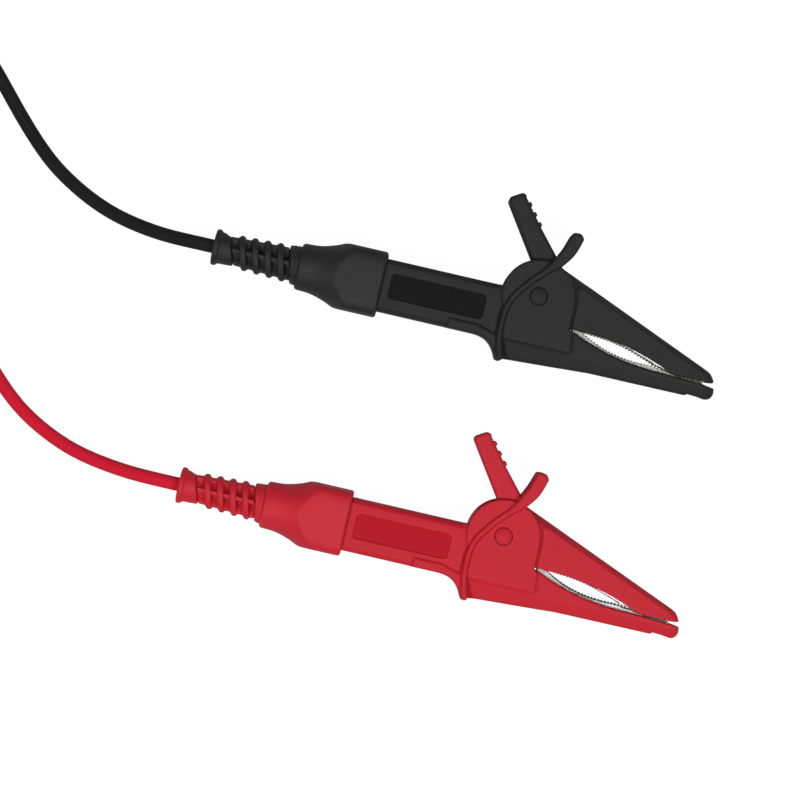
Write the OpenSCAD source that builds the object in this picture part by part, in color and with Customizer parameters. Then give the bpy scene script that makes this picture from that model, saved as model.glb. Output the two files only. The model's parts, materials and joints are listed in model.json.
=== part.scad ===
// A pair of insulated alligator clip leads, black and red, lying on their sides.
// +X runs along the barrels to the jaw tips, +Y to the levers, +Z up.
// The origin is under the middle of the two clips, on the surface they lie on.
// Each clip is drawn about its own pivot, with the pivot's axis along Z.

/* [Clip body] */
// Overall thickness of a clip, across the boot's flats and the guard ribs
clip_t = 18.6; // [18:0.1:23]
// Height of the barrel
barrel_h = 15.9; // [13.5:0.1:19]
// Thickness of the barrel
barrel_t = 14.4; // [13.6:0.1:16.4]
// Distance from the pivot down to the barrel's axis
barrel_drop = 7; // [6:0.1:8.5]
// Radius of the cheeks about the pivot
cheek_r = 11; // [10.6:0.1:11.5]
// How far the guard rib stands above the cheek
rib_rise = 1.1; // [0.5:0.1:1.6]
// Wall of the housing and of the barrel
wall = 1.5; // [1:0.1:2]
// Distance from the pivot back to the boot's front lip
boot_front = 46.3; // [38:0.1:56]

/* [Jaws] */
// Distance from the pivot to the tip of the lower jaw
jaw_reach = 57.7; // [48:0.1:70]
// Thickness of a jaw at its tip
jaw_tip_t = 9.4; // [9:0.1:12]
// Length of the steel teeth's pitch
tooth_pitch = 1; // [0.8:0.1:1.6]
// Depth of a steel tooth
tooth_h = 0.4; // [0.2:0.05:0.6]
// Thickness of the steel jaw liners
liner_t = 0.7; // [0.5:0.05:0.9]
// Width of the steel jaw liners
liner_w = 6.8; // [6.6:0.1:7.2]

/* [Pivot] */
// Radius of the pivot pin
pin_r = 1.5; // [1.2:0.05:1.7]
// Running clearance of the rocker on the pin
pin_clear = 0.06; // [0.04:0.01:0.1]
// Radius of a pivot cap
cap_r = 2.5; // [2.2:0.05:2.7]
// Wire of the return spring
spring_wire = 0.9; // [0.7:0.05:1]

/* [Boot and bend relief] */
// Height of the boot
boot_h = 19.9; // [19:0.1:24]
// Length of the boot
boot_l = 25.7; // [24:0.1:31]
// Radius of the boot's rear end
boot_rear_r = 7.15; // [6.8:0.05:7.6]
// Length of the bend relief behind the boot
relief_l = 26; // [26:0.5:32]
// Distance from one ring of the bend relief to the next
ring_pitch = 3.87; // [3.2:0.01:4]

/* [Cord] */
// Diameter of the cord
cord_d = 4; // [3.4:0.1:4]
// Height of one layer of the coil
coil_layer = 4; // [4:0.1:5]
// Radius of the coil at its middle turn
coil_r = 22; // [20:1:24]

/* [Plug] */
// Diameter of the plug's pin
plug_pin_d = 4; // [3.8:0.05:4]
// Free length of the plug's pin
plug_pin_l = 19; // [17:0.5:23]
// Inner diameter of the plug's shroud
shroud_id = 8.2; // [8:0.1:8.6]
// Outer diameter of the plug's shroud
shroud_od = 11; // [10.6:0.1:11.4]
// Diameter of the plug's grip
grip_d = 13; // [12.8:0.1:14]
// Length of the plug's grip
grip_l = 34; // [30:1:40]

/* [Placing] */
// How far the red clip lies forward of the black one
red_dx = 5.9; // [0:0.1:12]
// Distance between the two clips' pivots, across
red_dy = 71.9; // [66:0.1:90]

/* [Hidden] */
// Clearance of a fit within one body, and between neighbours that move
fit = 0.05;
gap = 0.3;
eps = 0.01;
$fn = 48;

LEADS = ["black", "red"];
PIECES = [
  "housing_near", "housing_far", "jaw_lever", "upper_jaw_liner", "lower_jaw_liner",
  "pivot_pin", "pivot_cap_near", "pivot_cap_far", "torsion_spring", "crimp_ferrule",
  "conductor", "lead_in", "boot", "bend_relief", "cord", "cord_coil", "coil_tie",
  "cord_tail", "plug_relief", "plug_lead_in", "plug_body", "plug_shroud", "plug_pin",
  "plug_spring_cage"
];
NODES = [for (lead = LEADS) for (piece = PIECES) str(lead, "_", piece)];
node = "all";

// Heights above a clip's own middle plane
rib_z = clip_t / 2;
cheek_z = rib_z - rib_rise;
cheek_in_z = cheek_z - wall;
barrel_z = barrel_t / 2;
flare_z = cheek_z - 0.3;
rocker_z = cheek_in_z - gap;
liner_z = liner_w / 2;
trough_z = liner_z + 0.1;
ear_in_z = liner_z - liner_t;
jaw_tip_z = jaw_tip_t / 2;

// The barrel and the boot
axis_y = -barrel_drop;
barrel_top = axis_y + barrel_h / 2;
barrel_low = axis_y - barrel_h / 2;
bore_top = barrel_top - wall;
bore_low = barrel_low + wall;
bore_z = barrel_z - wall;
edge = 1.5;
head_back = -cheek_r;
boot_rear = -boot_front - boot_l;
barrel_rear = -boot_front - 10;
rear_wall = 1.5;
relief_root = barrel_rear - 0.2;
relief_end = boot_rear - relief_l;
neck_r = boot_rear_r - 1.2;
cord_r = cord_d / 2;
cord_bore_r = cord_r + fit;

// The head, the rocker's swing space and the mechanism
hub_r = 9;
swing_r = hub_r + 0.5;
tongue_r = 14.5;
open_to = 147;
cavity_floor = -17;
cavity_back = -swing_r + 0.1;
jaw_low = -7.1;
corner = [cheek_r + 0.1, jaw_low - 0.35];
plate_foot = [12.9, -14.7];
jaw_back = [5.1, 10];
facet_angle = 24;
jaw_shell = 1.8;

// The guard rib's line, from the hook's tip to the heel, and its half widths
rib_line = [[7.3, 19.1], [5.9, 15], [3.4, 11], [0.2, 7.4], [-4.6, 2.1], [-8.3, -4],
            [-9, -11], [-8.4, -16], [-7.4, -20.2]];
rib_half = [1.95, 1.95, 1.6, 1, 0.95, 0.9, 0.9, 0.95, 1];

// The lever's tip, between its two corners
lever_tip_a = [-11.2, 27.9];
lever_tip_b = [-13.7, 26.4];
lever_tip_r = 1.25;
lever_root = [-2.9, 8.4];
lever_mid = [-3.6, 20];
lever_end = [-9.9, 27.9];
pocket_shift = [-0.3, -2.9];

// Pivot cap, pin and spring
pin_half = cheek_z - 0.75;
cap_seat = cheek_z - 0.7;
cap_top = cheek_z + 0.7;
cap_ring = 0.3;
spring_in = pin_r + 0.4;
spring_mid = spring_in + spring_wire / 2;
spring_half = ear_in_z - 0.25;
spring_leg_z = spring_half - spring_wire / 2 - 0.05;
lever_leg_at = 22;
lever_leg_l = 16;
floor_leg_end = [-10.3, bore_low + 0.95];
floor_leg_l = sqrt(floor_leg_end * floor_leg_end - spring_mid * spring_mid);
floor_leg_at = 270 + atan2(floor_leg_end[1], floor_leg_end[0]) - atan(spring_mid / floor_leg_l);

// Conductor, ferrule and the liner's tail
ferrule_r = 2.6;
core_r = 1.2;
jacket_end = -boot_front + 2.3;
ferrule_x = jacket_end + 8;
ferrule_l = 10;
tail_top = axis_y - ferrule_r;
tail_half = 1.25;
tail_bend = cavity_back - 0.825 * (tail_top - liner_t - bore_low);

// The free cord's route from the bend relief, about the clip's pivot
mid_z = rib_z;
route = [[relief_end, axis_y, mid_z], [-104, axis_y, mid_z], [-112, -7, 8], [-121, -6, 5.6],
         [-134, -3, 2.9], [-148, 4.4, 2.1], [-156, 10.8, 2.1], [-164, 18.8, 2.1],
         [-172, 27.8, 2.1], [-178, 34, 2.1], [-184, 39.2, 2.2], [-190, 43, 2.4],
         [-196, 46, 2.6], [-202, 47.7, 2.6]];
coil_at = [-206, 22];
tie_t = 0.6;
tie_w = 6;
coil_in = coil_r - 1.5 * cord_d;
coil_out = coil_r + 1.5 * cord_d;
tail_z = tie_t + 1.5 * coil_layer;
turn_out = coil_r + cord_d;

// The plug, measured along its axis from where the cord enters it
plug_x = coil_at[0] - 20;
plug_y = coil_at[1] + turn_out;
plug_z = grip_d / 2;
plug_relief_l = 12;
grip_end = plug_relief_l + grip_l;
shroud_root = grip_end - 10;
shroud_r = shroud_od / 2;
shroud_bore = shroud_id / 2;
shroud_l = plug_pin_l + 1.5;
pin_root_r = 3;
plug_root_r = 3.9;
plug_pin_r = plug_pin_d / 2;
pin_core_r = plug_pin_r - 0.5;
pin_collar_l = 1.5;
pin_nose_l = 2;

// Where each clip's pivot lies
mid_x = (relief_end + jaw_reach + red_dx) / 2;
heel_low = rib_line[8][1] - rib_half[8];
lever_high = lever_tip_a[1] + lever_tip_r;
mid_y = (lever_high + heel_low - red_dy) / 2;

function lead_at(i) = [i * red_dx - mid_x, -i * red_dy - mid_y];
function lead_colour(i) = i == 0 ? "#303030" : "#c0202e";
function wanted(i, piece) = node == "all" || node == str(LEADS[i], "_", piece);

// ---- Curves ----

// A smooth line through points, as a Catmull-Rom curve of n steps a span
function clamp_at(p, i) = p[max(0, min(len(p) - 1, i))];
function blend(a, b, c, d, t) =
  0.5 * (2 * b + (c - a) * t + (2 * a - 5 * b + 4 * c - d) * t * t
         + (3 * b - a - 3 * c + d) * t * t * t);
function smooth(p, n) = concat(
  [for (i = [0:len(p) - 2]) for (k = [0:n - 1])
    blend(clamp_at(p, i - 1), p[i], p[i + 1], clamp_at(p, i + 2), k / n)],
  [p[len(p) - 1]]);
function unit(v) = v / norm(v);
function left_of(v) = [-v[1], v[0]];
function heading(p, i) = unit(clamp_at(p, i + 1) - clamp_at(p, i - 1));

// The two sides of a band of varying half width along a line
function band(p, w) = concat(
  [for (i = [0:len(p) - 1]) p[i] + left_of(heading(p, i)) * w[i]],
  [for (i = [len(p) - 1:-1:0]) p[i] - left_of(heading(p, i)) * w[i]]);

// Points of an arc about c
function arc(c, r, a0, a1, n) =
  [for (i = [0:n]) c + r * [cos(a0 + (a1 - a0) * i / n), sin(a0 + (a1 - a0) * i / n)]];

// X of a station along the jaws, from 0 at their root to 1 at the lower tip
jaw_root = 12;
function along(f) = jaw_root + (jaw_reach - jaw_root) * f;
function part_of(x, a, b) = max(0, min(1, (x - a) / (b - a)));

// The gape's edges: the plastic of each jaw, then the steel of each jaw
gape_a = along(0.02);
gape_b = along(0.66);
bite_a = along(0.58);
bite_b = along(0.766);
bite_end = along(0.93);
function low_edge(x) =
  -8 - 5.85 * (1 - pow(1 - part_of(x, gape_a, gape_b), 2.2))
  - 0.6 * part_of(x, gape_b, bite_end);
function high_edge(x) = jaw_low - 6.4 * pow(part_of(x, along(0.066), along(0.71)), 2);
function bite(x) =
  -12.3 - 1.4 * part_of(x, bite_a, bite_b) - 0.3 * part_of(x, bite_b, bite_end);
function low_steel(x) = x > bite_a ? bite(x) - 0.06
  : -7.45 - 4.85 * (1 - pow(1 - part_of(x, along(0.083), along(0.525)), 2.4));
function high_steel(x) = x > bite_a ? bite(x) + 0.06
  : -7.35 - 4.9 * pow(part_of(x, along(0.0875), bite_a), 2.2);
liner_start = along(0.083);
liner_end = along(0.92);
teeth = floor((liner_end - liner_start) / tooth_pitch);
function tooth_x(k) = liner_start + (liner_end - liner_start) * k / (2 * teeth);

// ---- Outlines of the clip, seen along the pivot ----

module cheek_outline() {
  circle(cheek_r, $fn = 96);
  polygon([[head_back, barrel_top], [head_back, plate_foot[1]], plate_foot,
           [corner[0] + 1.2, corner[1] - 0.8], corner, [corner[0], 0], [0, 0]]);
}

module belly_outline() {
  tip = jaw_reach;
  polygon(concat(
    [[head_back, barrel_low + 3], [-8, -14], [-8.2, -20.2], [-5.9, -20.3], [8, -19.5], [20, -18.75],
     [tip - 8.3, -18.7], [tip - 7.7, -18.15], [tip - 4.7, -18.3]],
    arc([tip - 2.3, -16.4], 2.25, -90, 12, 8),
    [[tip - 0.3, -14.9], [tip - 2.6, -14.6]],
    [for (k = [10:-1:0]) let (x = gape_a + (bite_end - gape_a) * k / 10) [x, low_edge(x)]],
    [[corner[0], corner[1] - 1], [0, corner[1] - 1]]));
}

module flare_outline() {
  polygon(smooth([[-24.8, -11.9], [-20, -11.9], [-16, -11.9], [-13, -12.7], [-9, -14.2], [-8.5, -17],
                  [-7.6, -20.6], [-8.5, -20.9], [-9.5, -19], [-11.2, -16.8], [-13.6, -15.4],
                  [-17, barrel_low], [-24.8, barrel_low]], 3));
}

module rib_outline() {
  line = smooth(rib_line, 4);
  half = smooth(rib_half, 4);
  polygon(band(line, half));
  translate(rib_line[0]) circle(rib_half[0]);
  translate(rib_line[8]) circle(rib_half[8]);
}

module lever_outline() {
  polygon([jaw_back, lever_mid, lever_end,
           lever_tip_a + lever_tip_r * [0.78, 0.62], lever_tip_a + lever_tip_r * [-0.54, 0.84],
           lever_tip_b + lever_tip_r * [-0.54, 0.84], lever_tip_b + lever_tip_r * [-0.84, -0.54],
           lever_root, [0, 0]]);
  translate(lever_tip_a) circle(lever_tip_r);
  translate(lever_tip_b) circle(lever_tip_r);
}

module jaw_outline() {
  tip = jaw_reach - 0.8;
  polygon(concat(
    [[0, 0], jaw_back, [tip - 2.6, -10.1], [tip - 1.4, -10.75], [tip - 0.7, -11.7], [tip, -13],
     [tip - 0.35, -13.45], [tip - 2.2, -13.6]],
    [for (k = [10:-1:0]) let (x = along(0.03) + (along(0.74) - along(0.03)) * k / 10)
      [x, high_edge(x)]],
    [[5, jaw_low]]));
}

// The part of the upper jaw that is as wide as the barrel, clear of cheeks and hook
module wide_jaw_outline() {
  difference() {
    jaw_outline();
    circle(cheek_r + 0.35, $fn = 96);
    translate([-1, -20]) square([corner[0] + 1.35, 40]);
    polygon([[0, 0], [40, 20.4], [40, 40], [0, 40]]);
  }
}

// The jaw's back, moved in by a distance
function back_in(x, d) =
  let (tip = [jaw_reach - 3.4, -10.1], v = unit(tip - jaw_back),
       p = jaw_back - d * left_of(v)) p[1] + (x - p[0]) * v[1] / v[0];

// ---- Housing ----

// The slanting facet under the jaw, below the cheek's foot, on one side
module under_facet() {
  translate([0, plate_foot[1], 0]) rotate([facet_angle, 0, 0]) translate([-20, -20, 0]) cube([100, 20, 10]);
}

// Narrows the jaws toward their tips
module jaw_taper(root_z) {
  for (s = [-1, 1])
    translate([jaw_root + 1, 0, s * root_z])
      rotate([0, s * atan((root_z - jaw_tip_z) / (jaw_reach - jaw_root - 1)), 0])
        translate([0, -40, s > 0 ? 0 : -10]) cube([80, 80, 10]);
}

module tapered_facet() {
  translate([jaw_root + 1, 0, barrel_z])
    rotate([0, atan((barrel_z - jaw_tip_z) / (jaw_reach - jaw_root - 1)), 0])
      under_facet();
}

module barrel_solid() {
  h = barrel_h / 2;
  translate([barrel_rear, axis_y, 0])
    rotate([90, 0, 90])
      linear_extrude(head_back + edge - barrel_rear)
        polygon([[-h, 0], [-h, barrel_z - edge], [edge - h, barrel_z],
                 [h - edge, barrel_z], [h, barrel_z - edge], [h, 0]]);
}

module label_recess() {
  size = [29.2, 7.8];
  r = 0.8;
  depth = 0.5;
  translate([-44, axis_y - size[1] / 2 + 0.2, barrel_z - depth])
    linear_extrude(1) {
      translate([r, 0]) square([size[0] - 2 * r, size[1]]);
      translate([0, r]) square([size[0], size[1] - 2 * r]);
      for (x = [r, size[0] - r]) for (y = [r, size[1] - r]) translate([x, y]) circle(r);
    }
}

module swing_space() {
  circle(swing_r, $fn = 96);
  polygon(concat([[0, 0]], arc([0, 0], tongue_r, -32, open_to, 30)));
  polygon([[cavity_back, 0], [cavity_back, bore_low], [-5.2, cavity_floor],
           [corner[0] + 0.2, cavity_floor], [corner[0] + 0.2, 0]]);
}

// Pegs and their bosses that line the two halves up
pegs = [[-18, bore_top - 0.6], [-40, bore_top - 0.6], [-40, bore_low + 0.6], [-8, -17.6]];
peg_r = 0.9;
peg_l = 2;

module housing_half(lead) {
  color(lead_colour(lead))
    difference() {
      union() {
        difference() {
          union() {
            barrel_solid();
            linear_extrude(cheek_z) cheek_outline();
            difference() {
              linear_extrude(barrel_z) belly_outline();
              translate([0, 0, barrel_z]) under_facet();
              tapered_facet();
            }
            linear_extrude(flare_z) flare_outline();
            linear_extrude(rib_z) rib_outline();
          }
          translate([0, 0, -eps]) linear_extrude(cheek_in_z + eps) swing_space();
          translate([corner[0], cavity_floor, -eps])
            cube([liner_end + 0.6 - corner[0], 20, trough_z + eps]);
          translate([barrel_rear + rear_wall, bore_low, -eps])
            cube([cavity_back + 1 - barrel_rear - rear_wall, bore_top - bore_low, bore_z + eps]);
          difference() {
            jaw_taper(barrel_z);
            translate([0, 0, -20]) linear_extrude(40) circle(plate_foot[0] + 1.5, $fn = 96);
          }
          label_recess();
        }
        for (p = [for (k = [0:2]) pegs[k]])
          translate([p[0], p[1], 0]) cylinder(r = 2 * peg_r, h = bore_z + eps);
      }
      translate([0, 0, -eps]) cylinder(r = pin_r + fit / 2, h = clip_t);
      translate([0, 0, cap_seat]) cylinder(r = cap_r + cap_ring, h = 2);
      translate([barrel_rear - 1, axis_y, 0]) rotate([0, 90, 0]) cylinder(r = cord_bore_r, h = 4);
    }
}

module housing_near(lead) {
  housing_half(lead);
  color(lead_colour(lead))
    for (p = pegs) translate([p[0], p[1], -peg_l]) cylinder(r = peg_r, h = peg_l + 1);
}

module housing_far(lead) {
  difference() {
    mirror([0, 0, 1]) housing_half(lead);
    for (p = pegs) translate([p[0], p[1], -peg_l - 0.2]) cylinder(r = peg_r + fit, h = peg_l + 1);
  }
}

// ---- Rocker: upper jaw and lever in one piece ----

module jaw_lever(lead) {
  color(lead_colour(lead))
    difference() {
      union() {
        translate([0, 0, -rocker_z])
          linear_extrude(2 * rocker_z) {
            circle(hub_r, $fn = 96);
            jaw_outline();
            lever_outline();
          }
        translate([0, 0, -barrel_z]) linear_extrude(barrel_t) wide_jaw_outline();
        for (k = [0:2])
          let (p = lever_mid + (lever_end - lever_mid) * (0.14 + 0.33 * k))
            translate([p[0] - 0.25, p[1] - 0.2, -rocker_z]) cylinder(r = 0.95, h = 2 * rocker_z);
      }
      jaw_taper(barrel_z);
      translate([0, 0, -trough_z])
        linear_extrude(2 * trough_z) {
          circle(7.4, $fn = 96);
          polygon([[4, back_in(4, jaw_shell)], [liner_end + 0.4, back_in(liner_end + 0.4, jaw_shell)],
                   [liner_end + 0.4, -20], [4, -20]]);
          translate(pocket_shift) lever_outline();
          polygon(concat([[0, 0]], arc([0, 0], hub_r + 1, 195, 255, 6)));
        }
      translate([0, 0, -4.6])
        linear_extrude(9.2)
          difference() {
            translate(pocket_shift) lever_outline();
            circle(10.2, $fn = 96);
          }
      translate([0, 0, -rib_z]) cylinder(r = pin_r + pin_clear, h = clip_t);
    }
}

// ---- Steel liners ----

module both_walls() {
  for (z = [-liner_z, ear_in_z]) translate([0, 0, z]) linear_extrude(liner_t) children();
}

module upper_jaw_liner(lead) {
  a = 14;
  b = liner_end;
  d = jaw_shell + 0.1;
  color("silver")
    difference() {
      union() {
        both_walls() {
          circle(4.2);
          polygon(concat(
            [[0, 4], [a, back_in(a, d)], [b, back_in(b, d)]],
            [for (k = [2 * teeth:-1:0]) let (x = tooth_x(k)) [x, high_steel(x) + (k % 2) * tooth_h]],
            [[12.5, -6.4], [0, -4]]));
        }
        translate([0, 0, -liner_z])
          linear_extrude(liner_w)
            polygon([[a, back_in(a, d)], [b, back_in(b, d)],
                     [b, back_in(b, d + liner_t)], [a, back_in(a, d + liner_t)]]);
      }
      translate([0, 0, -rib_z]) cylinder(r = pin_r + pin_clear, h = clip_t);
    }
}

module lower_jaw_liner(lead) {
  low = cavity_floor;
  a = liner_start - 3;
  color("silver") {
    both_walls()
      polygon(concat(
        [for (k = [0:2 * teeth]) let (x = tooth_x(k)) [x, low_steel(x) - (k % 2) * tooth_h]],
        [[liner_end, low], [a, low], [a, -8.2]]));
    translate([a, low, -liner_z]) cube([liner_end - a, liner_t, liner_w]);
    translate([0, 0, -tail_half])
      linear_extrude(2 * tail_half)
        polygon([[a + 1, low], [-3.5, low], [tail_bend, tail_top - liner_t],
                 [ferrule_x, tail_top - liner_t], [ferrule_x, tail_top], [tail_bend + 0.4, tail_top],
                 [-3.2, low + liner_t], [a + 1, low + liner_t]]);
  }
}

// ---- Pivot ----

module pivot_pin(lead) {
  color("gainsboro") translate([0, 0, -pin_half]) cylinder(r = pin_r, h = 2 * pin_half);
}

module pivot_cap() {
  rise = cap_top - cheek_z;
  ball = (cap_r * cap_r + rise * rise) / (2 * rise);
  translate([0, 0, cap_seat]) cylinder(r = cap_r, h = cheek_z - cap_seat);
  translate([0, 0, cheek_z])
    intersection() {
      translate([0, 0, rise - ball]) sphere(ball, $fn = 96);
      cylinder(r = cap_r, h = rise + 1);
    }
}

module torsion_spring(lead) {
  r = spring_wire / 2 - 0.03;
  color("darkgray") {
    rotate_extrude() translate([spring_in, -spring_half]) square([spring_wire, 2 * spring_half]);
    rotate([0, 0, lever_leg_at])
      translate([spring_mid, 0, spring_leg_z]) rotate([-90, 0, 0]) cylinder(r = r, h = lever_leg_l);
    rotate([0, 0, floor_leg_at])
      translate([-spring_mid, 0, -spring_leg_z]) rotate([-90, 0, 0]) cylinder(r = r, h = floor_leg_l);
  }
}

// ---- Conductor and cord inside the clip ----

module along_x(x, y = axis_y) {
  translate([x, y, 0]) rotate([0, 90, 0]) children();
}

module crimp_ferrule(lead) {
  color("goldenrod")
    along_x(ferrule_x)
      difference() {
        cylinder(r = ferrule_r, h = ferrule_l);
        translate([0, 0, -1]) cylinder(r = core_r + fit, h = ferrule_l + 2);
      }
}

module conductor(lead) {
  color("peru") along_x(jacket_end) cylinder(r = core_r, h = ferrule_x + ferrule_l - jacket_end + 1);
}

module lead_in(lead) {
  color(lead_colour(lead)) along_x(relief_end) cylinder(r = cord_r, h = jacket_end - relief_end);
}

// ---- Boot and bend relief ----

// A rectangle with round corners, centred, as the boot's section
module rounded(w, h, r) {
  square([w - 2 * r, h], center = true);
  square([w, h - 2 * r], center = true);
  for (x = [-1, 1]) for (y = [-1, 1]) translate([x * (w / 2 - r), y * (h / 2 - r)]) circle(r);
}

module boot(lead) {
  corner_r = 3;
  reach = norm([boot_h / 2 - corner_r, rib_z - corner_r]) + corner_r + 0.1;
  clear_z = barrel_z + fit;
  color(lead_colour(lead))
    along_x(boot_rear)
      difference() {
        intersection() {
          linear_extrude(boot_l) rounded(clip_t, boot_h, corner_r);
          rotate_extrude($fn = 96)
            polygon([[0, 0], [boot_rear_r - 0.9, 0], [boot_rear_r - 0.1, 0.7], [boot_rear_r, 4],
                     [boot_rear_r + 0.45, 6], [boot_rear_r + 1, 8], [boot_rear_r + 2.1, 12],
                     [boot_h / 2, 13.3], [reach, 17], [reach, boot_l - 1.2],
                     [reach - 1.6, boot_l], [0, boot_l]]);
        }
        translate([0, 0, barrel_rear - boot_rear])
          linear_extrude(boot_l) square([2 * clear_z, barrel_h + 2 * fit], center = true);
        translate([0, 0, -1]) cylinder(r = neck_r + fit, h = boot_l);
      }
}

module bend_relief(lead) {
  core = 3.5;
  collar = 5.45;
  hub = 4.45;
  first = boot_rear - 5.4;
  rings = floor((first - relief_end - 6.5) / ring_pitch);
  ring_w = 1.9;
  // ring k's radius falls slowly toward the cord
  function ring_r(k) = 5.6 - 0.16 * k;
  function from_end(x) = x - relief_end;
  color(lead_colour(lead))
    along_x(relief_end)
      difference() {
        union() {
          rotate_extrude()
            polygon(concat(
              [[0, 0], [collar - 0.7, 0], [collar, 0.5], [collar - 0.1, 1.6], [hub + 0.1, 2.4],
               [hub, 5.2], [core + 0.5, 5.8], [core, 6.1]],
              [for (k = [rings:-1:0]) let (c = from_end(first - k * ring_pitch))
                each [[core, c - ring_w / 2 - 0.3], [ring_r(k), c - ring_w / 2 + 0.4],
                      [ring_r(k), c + ring_w / 2 - 0.4], [core, c + ring_w / 2 + 0.3]]],
              [[core, from_end(boot_rear - 2.6)], [neck_r - 0.5, from_end(boot_rear - 2.3)],
               [neck_r, from_end(boot_rear - 1.8)], [neck_r, from_end(relief_root)],
               [0, from_end(relief_root)]]));
          for (a = [0, 180])
            rotate([0, 0, a])
              translate([core - 0.5, -0.6, 5]) cube([1.4, 1.2, from_end(boot_rear - 2.4) - 5]);
        }
        translate([0, 0, -1]) cylinder(r = cord_bore_r, h = relief_l + boot_l);
      }
}

// ---- Free cord ----

// Sweeps a round section of n sides along points, with a ring at each point
function ring_at(p, i, r, n) =
  let (t = heading(p, i), u = unit(cross(t, [0, 0, 1])), v = cross(u, t))
  [for (k = [0:n - 1]) p[i] + r * (cos(360 * k / n) * u + sin(360 * k / n) * v)];

module swept(p, r, n) {
  m = len(p);
  polyhedron(
    points = [for (i = [0:m - 1]) each ring_at(p, i, r, n)],
    faces = concat(
      [[for (k = [0:n - 1]) k]],
      [for (i = [0:m - 2]) for (k = [0:n - 1])
        let (j = (k + 1) % n) each [[i * n + k, (i + 1) * n + k, (i + 1) * n + j],
                                    [i * n + k, (i + 1) * n + j, i * n + j]]],
      [[for (k = [n - 1:-1:0]) (m - 1) * n + k]]));
}

module cord(lead) {
  free = [for (i = [1:len(route) - 1]) route[i]];
  color(lead_colour(lead)) swept(concat([route[0]], smooth(free, 2)), cord_r, 12);
}

module cord_coil(lead) {
  soft = 1.2;
  h = 2 * coil_layer;
  color(lead_colour(lead))
    translate([coil_at[0], coil_at[1], tie_t])
      rotate_extrude($fn = 96)
        polygon([[coil_in + soft, 0], [coil_out - soft, 0], [coil_out, soft], [coil_out, h - soft],
                 [coil_out - soft, h], [coil_in + soft, h], [coil_in, h - soft], [coil_in, soft]]);
}

module coil_tie(lead) {
  a = coil_in - 0.4;
  b = coil_out + 0.1;
  h = 2 * coil_layer + 0.1;
  color("dimgray")
    translate([coil_at[0], coil_at[1], 0])
      rotate([0, 0, -60])
        translate([a - tie_t, -tie_w / 2, 0])
          difference() {
            cube([b - a + 2 * tie_t, tie_w, h + 2 * tie_t]);
            translate([tie_t, -1, tie_t]) cube([b - a, tie_w + 2, h]);
          }
}

module cord_tail(lead) {
  to = [plug_x, plug_y, plug_z];
  from = [coil_at[0] - 4, plug_y - 0.3, tail_z];
  color(lead_colour(lead)) swept([from, to + [6, 0, 0], to + [1, 0, 0], to], cord_r, 12);
}

// ---- Plug ----

// Puts an axis along Z on the plug's own axis, running away from the cord
module on_plug() {
  translate([plug_x, plug_y, plug_z]) rotate([0, -90, 0]) children();
}

module tube(r, bore, from, to) {
  translate([0, 0, from])
    difference() {
      cylinder(r = r, h = to - from);
      translate([0, 0, -1]) cylinder(r = bore, h = to - from + 2);
    }
}

module plug_relief(lead) {
  rings = 3;
  root_end = plug_relief_l + 4;
  color(lead_colour(lead))
    on_plug()
      difference() {
        union() {
          rotate_extrude()
            polygon([[0, 0], [2.9, 0], [plug_root_r, plug_relief_l], [plug_root_r, root_end],
                     [0, root_end]]);
          for (k = [0:rings]) translate([0, 0, 0.4 + k * 3.1]) cylinder(r = 4.1 + 0.25 * k, h = 1.5);
        }
        translate([0, 0, -1]) cylinder(r = cord_bore_r, h = root_end + 2);
      }
}

module plug_lead_in(lead) {
  color(lead_colour(lead)) on_plug() cylinder(r = cord_r, h = shroud_root - 1);
}

module plug_body(lead) {
  r = grip_d / 2;
  a = plug_relief_l + 0.1;
  color(lead_colour(lead))
    on_plug()
      difference() {
        union() {
          rotate_extrude($fn = 96)
            polygon([[0, a], [r - 1, a], [r, a + 1.2], [r, a + 7], [r - 1, a + 9], [r - 1, grip_end - 9],
                     [r, grip_end - 7], [r, grip_end - 0.6], [r - 0.6, grip_end], [0, grip_end]]);
          for (k = [0:11])
            rotate([0, 0, 30 * k])
              translate([r - 1.5, -0.5, a + 8]) cube([0.9, 1, grip_l - 16]);
        }
        translate([0, 0, shroud_root]) cylinder(r = shroud_r + fit, h = 20);
        translate([0, 0, a - 1]) cylinder(r = plug_root_r + fit, h = 5);
        translate([0, 0, a]) cylinder(r = cord_bore_r, h = grip_l);
      }
}

module plug_shroud(lead) {
  color(lead_colour(lead))
    on_plug() {
      tube(shroud_r, shroud_bore, grip_end, grip_end + shroud_l);
      tube(shroud_r, pin_root_r + fit, shroud_root + fit, grip_end);
    }
}

module plug_pin(lead) {
  tip = grip_end + plug_pin_l;
  color("gainsboro")
    on_plug() {
      translate([0, 0, shroud_root - 1]) cylinder(r = cord_r, h = 2);
      translate([0, 0, shroud_root + 1]) cylinder(r = pin_root_r, h = grip_end - shroud_root - 1);
      translate([0, 0, grip_end]) cylinder(r = plug_pin_r, h = pin_collar_l);
      translate([0, 0, grip_end]) cylinder(r = pin_core_r, h = plug_pin_l);
      translate([0, 0, tip - pin_nose_l]) cylinder(r = plug_pin_r, h = pin_nose_l);
    }
}

module plug_spring_cage(lead) {
  from = grip_end + pin_collar_l;
  to = grip_end + plug_pin_l - pin_nose_l;
  color("lightgray") on_plug() tube(plug_pin_r, pin_core_r + fit / 2, from, to);
}

// ---- Assembly ----

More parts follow.
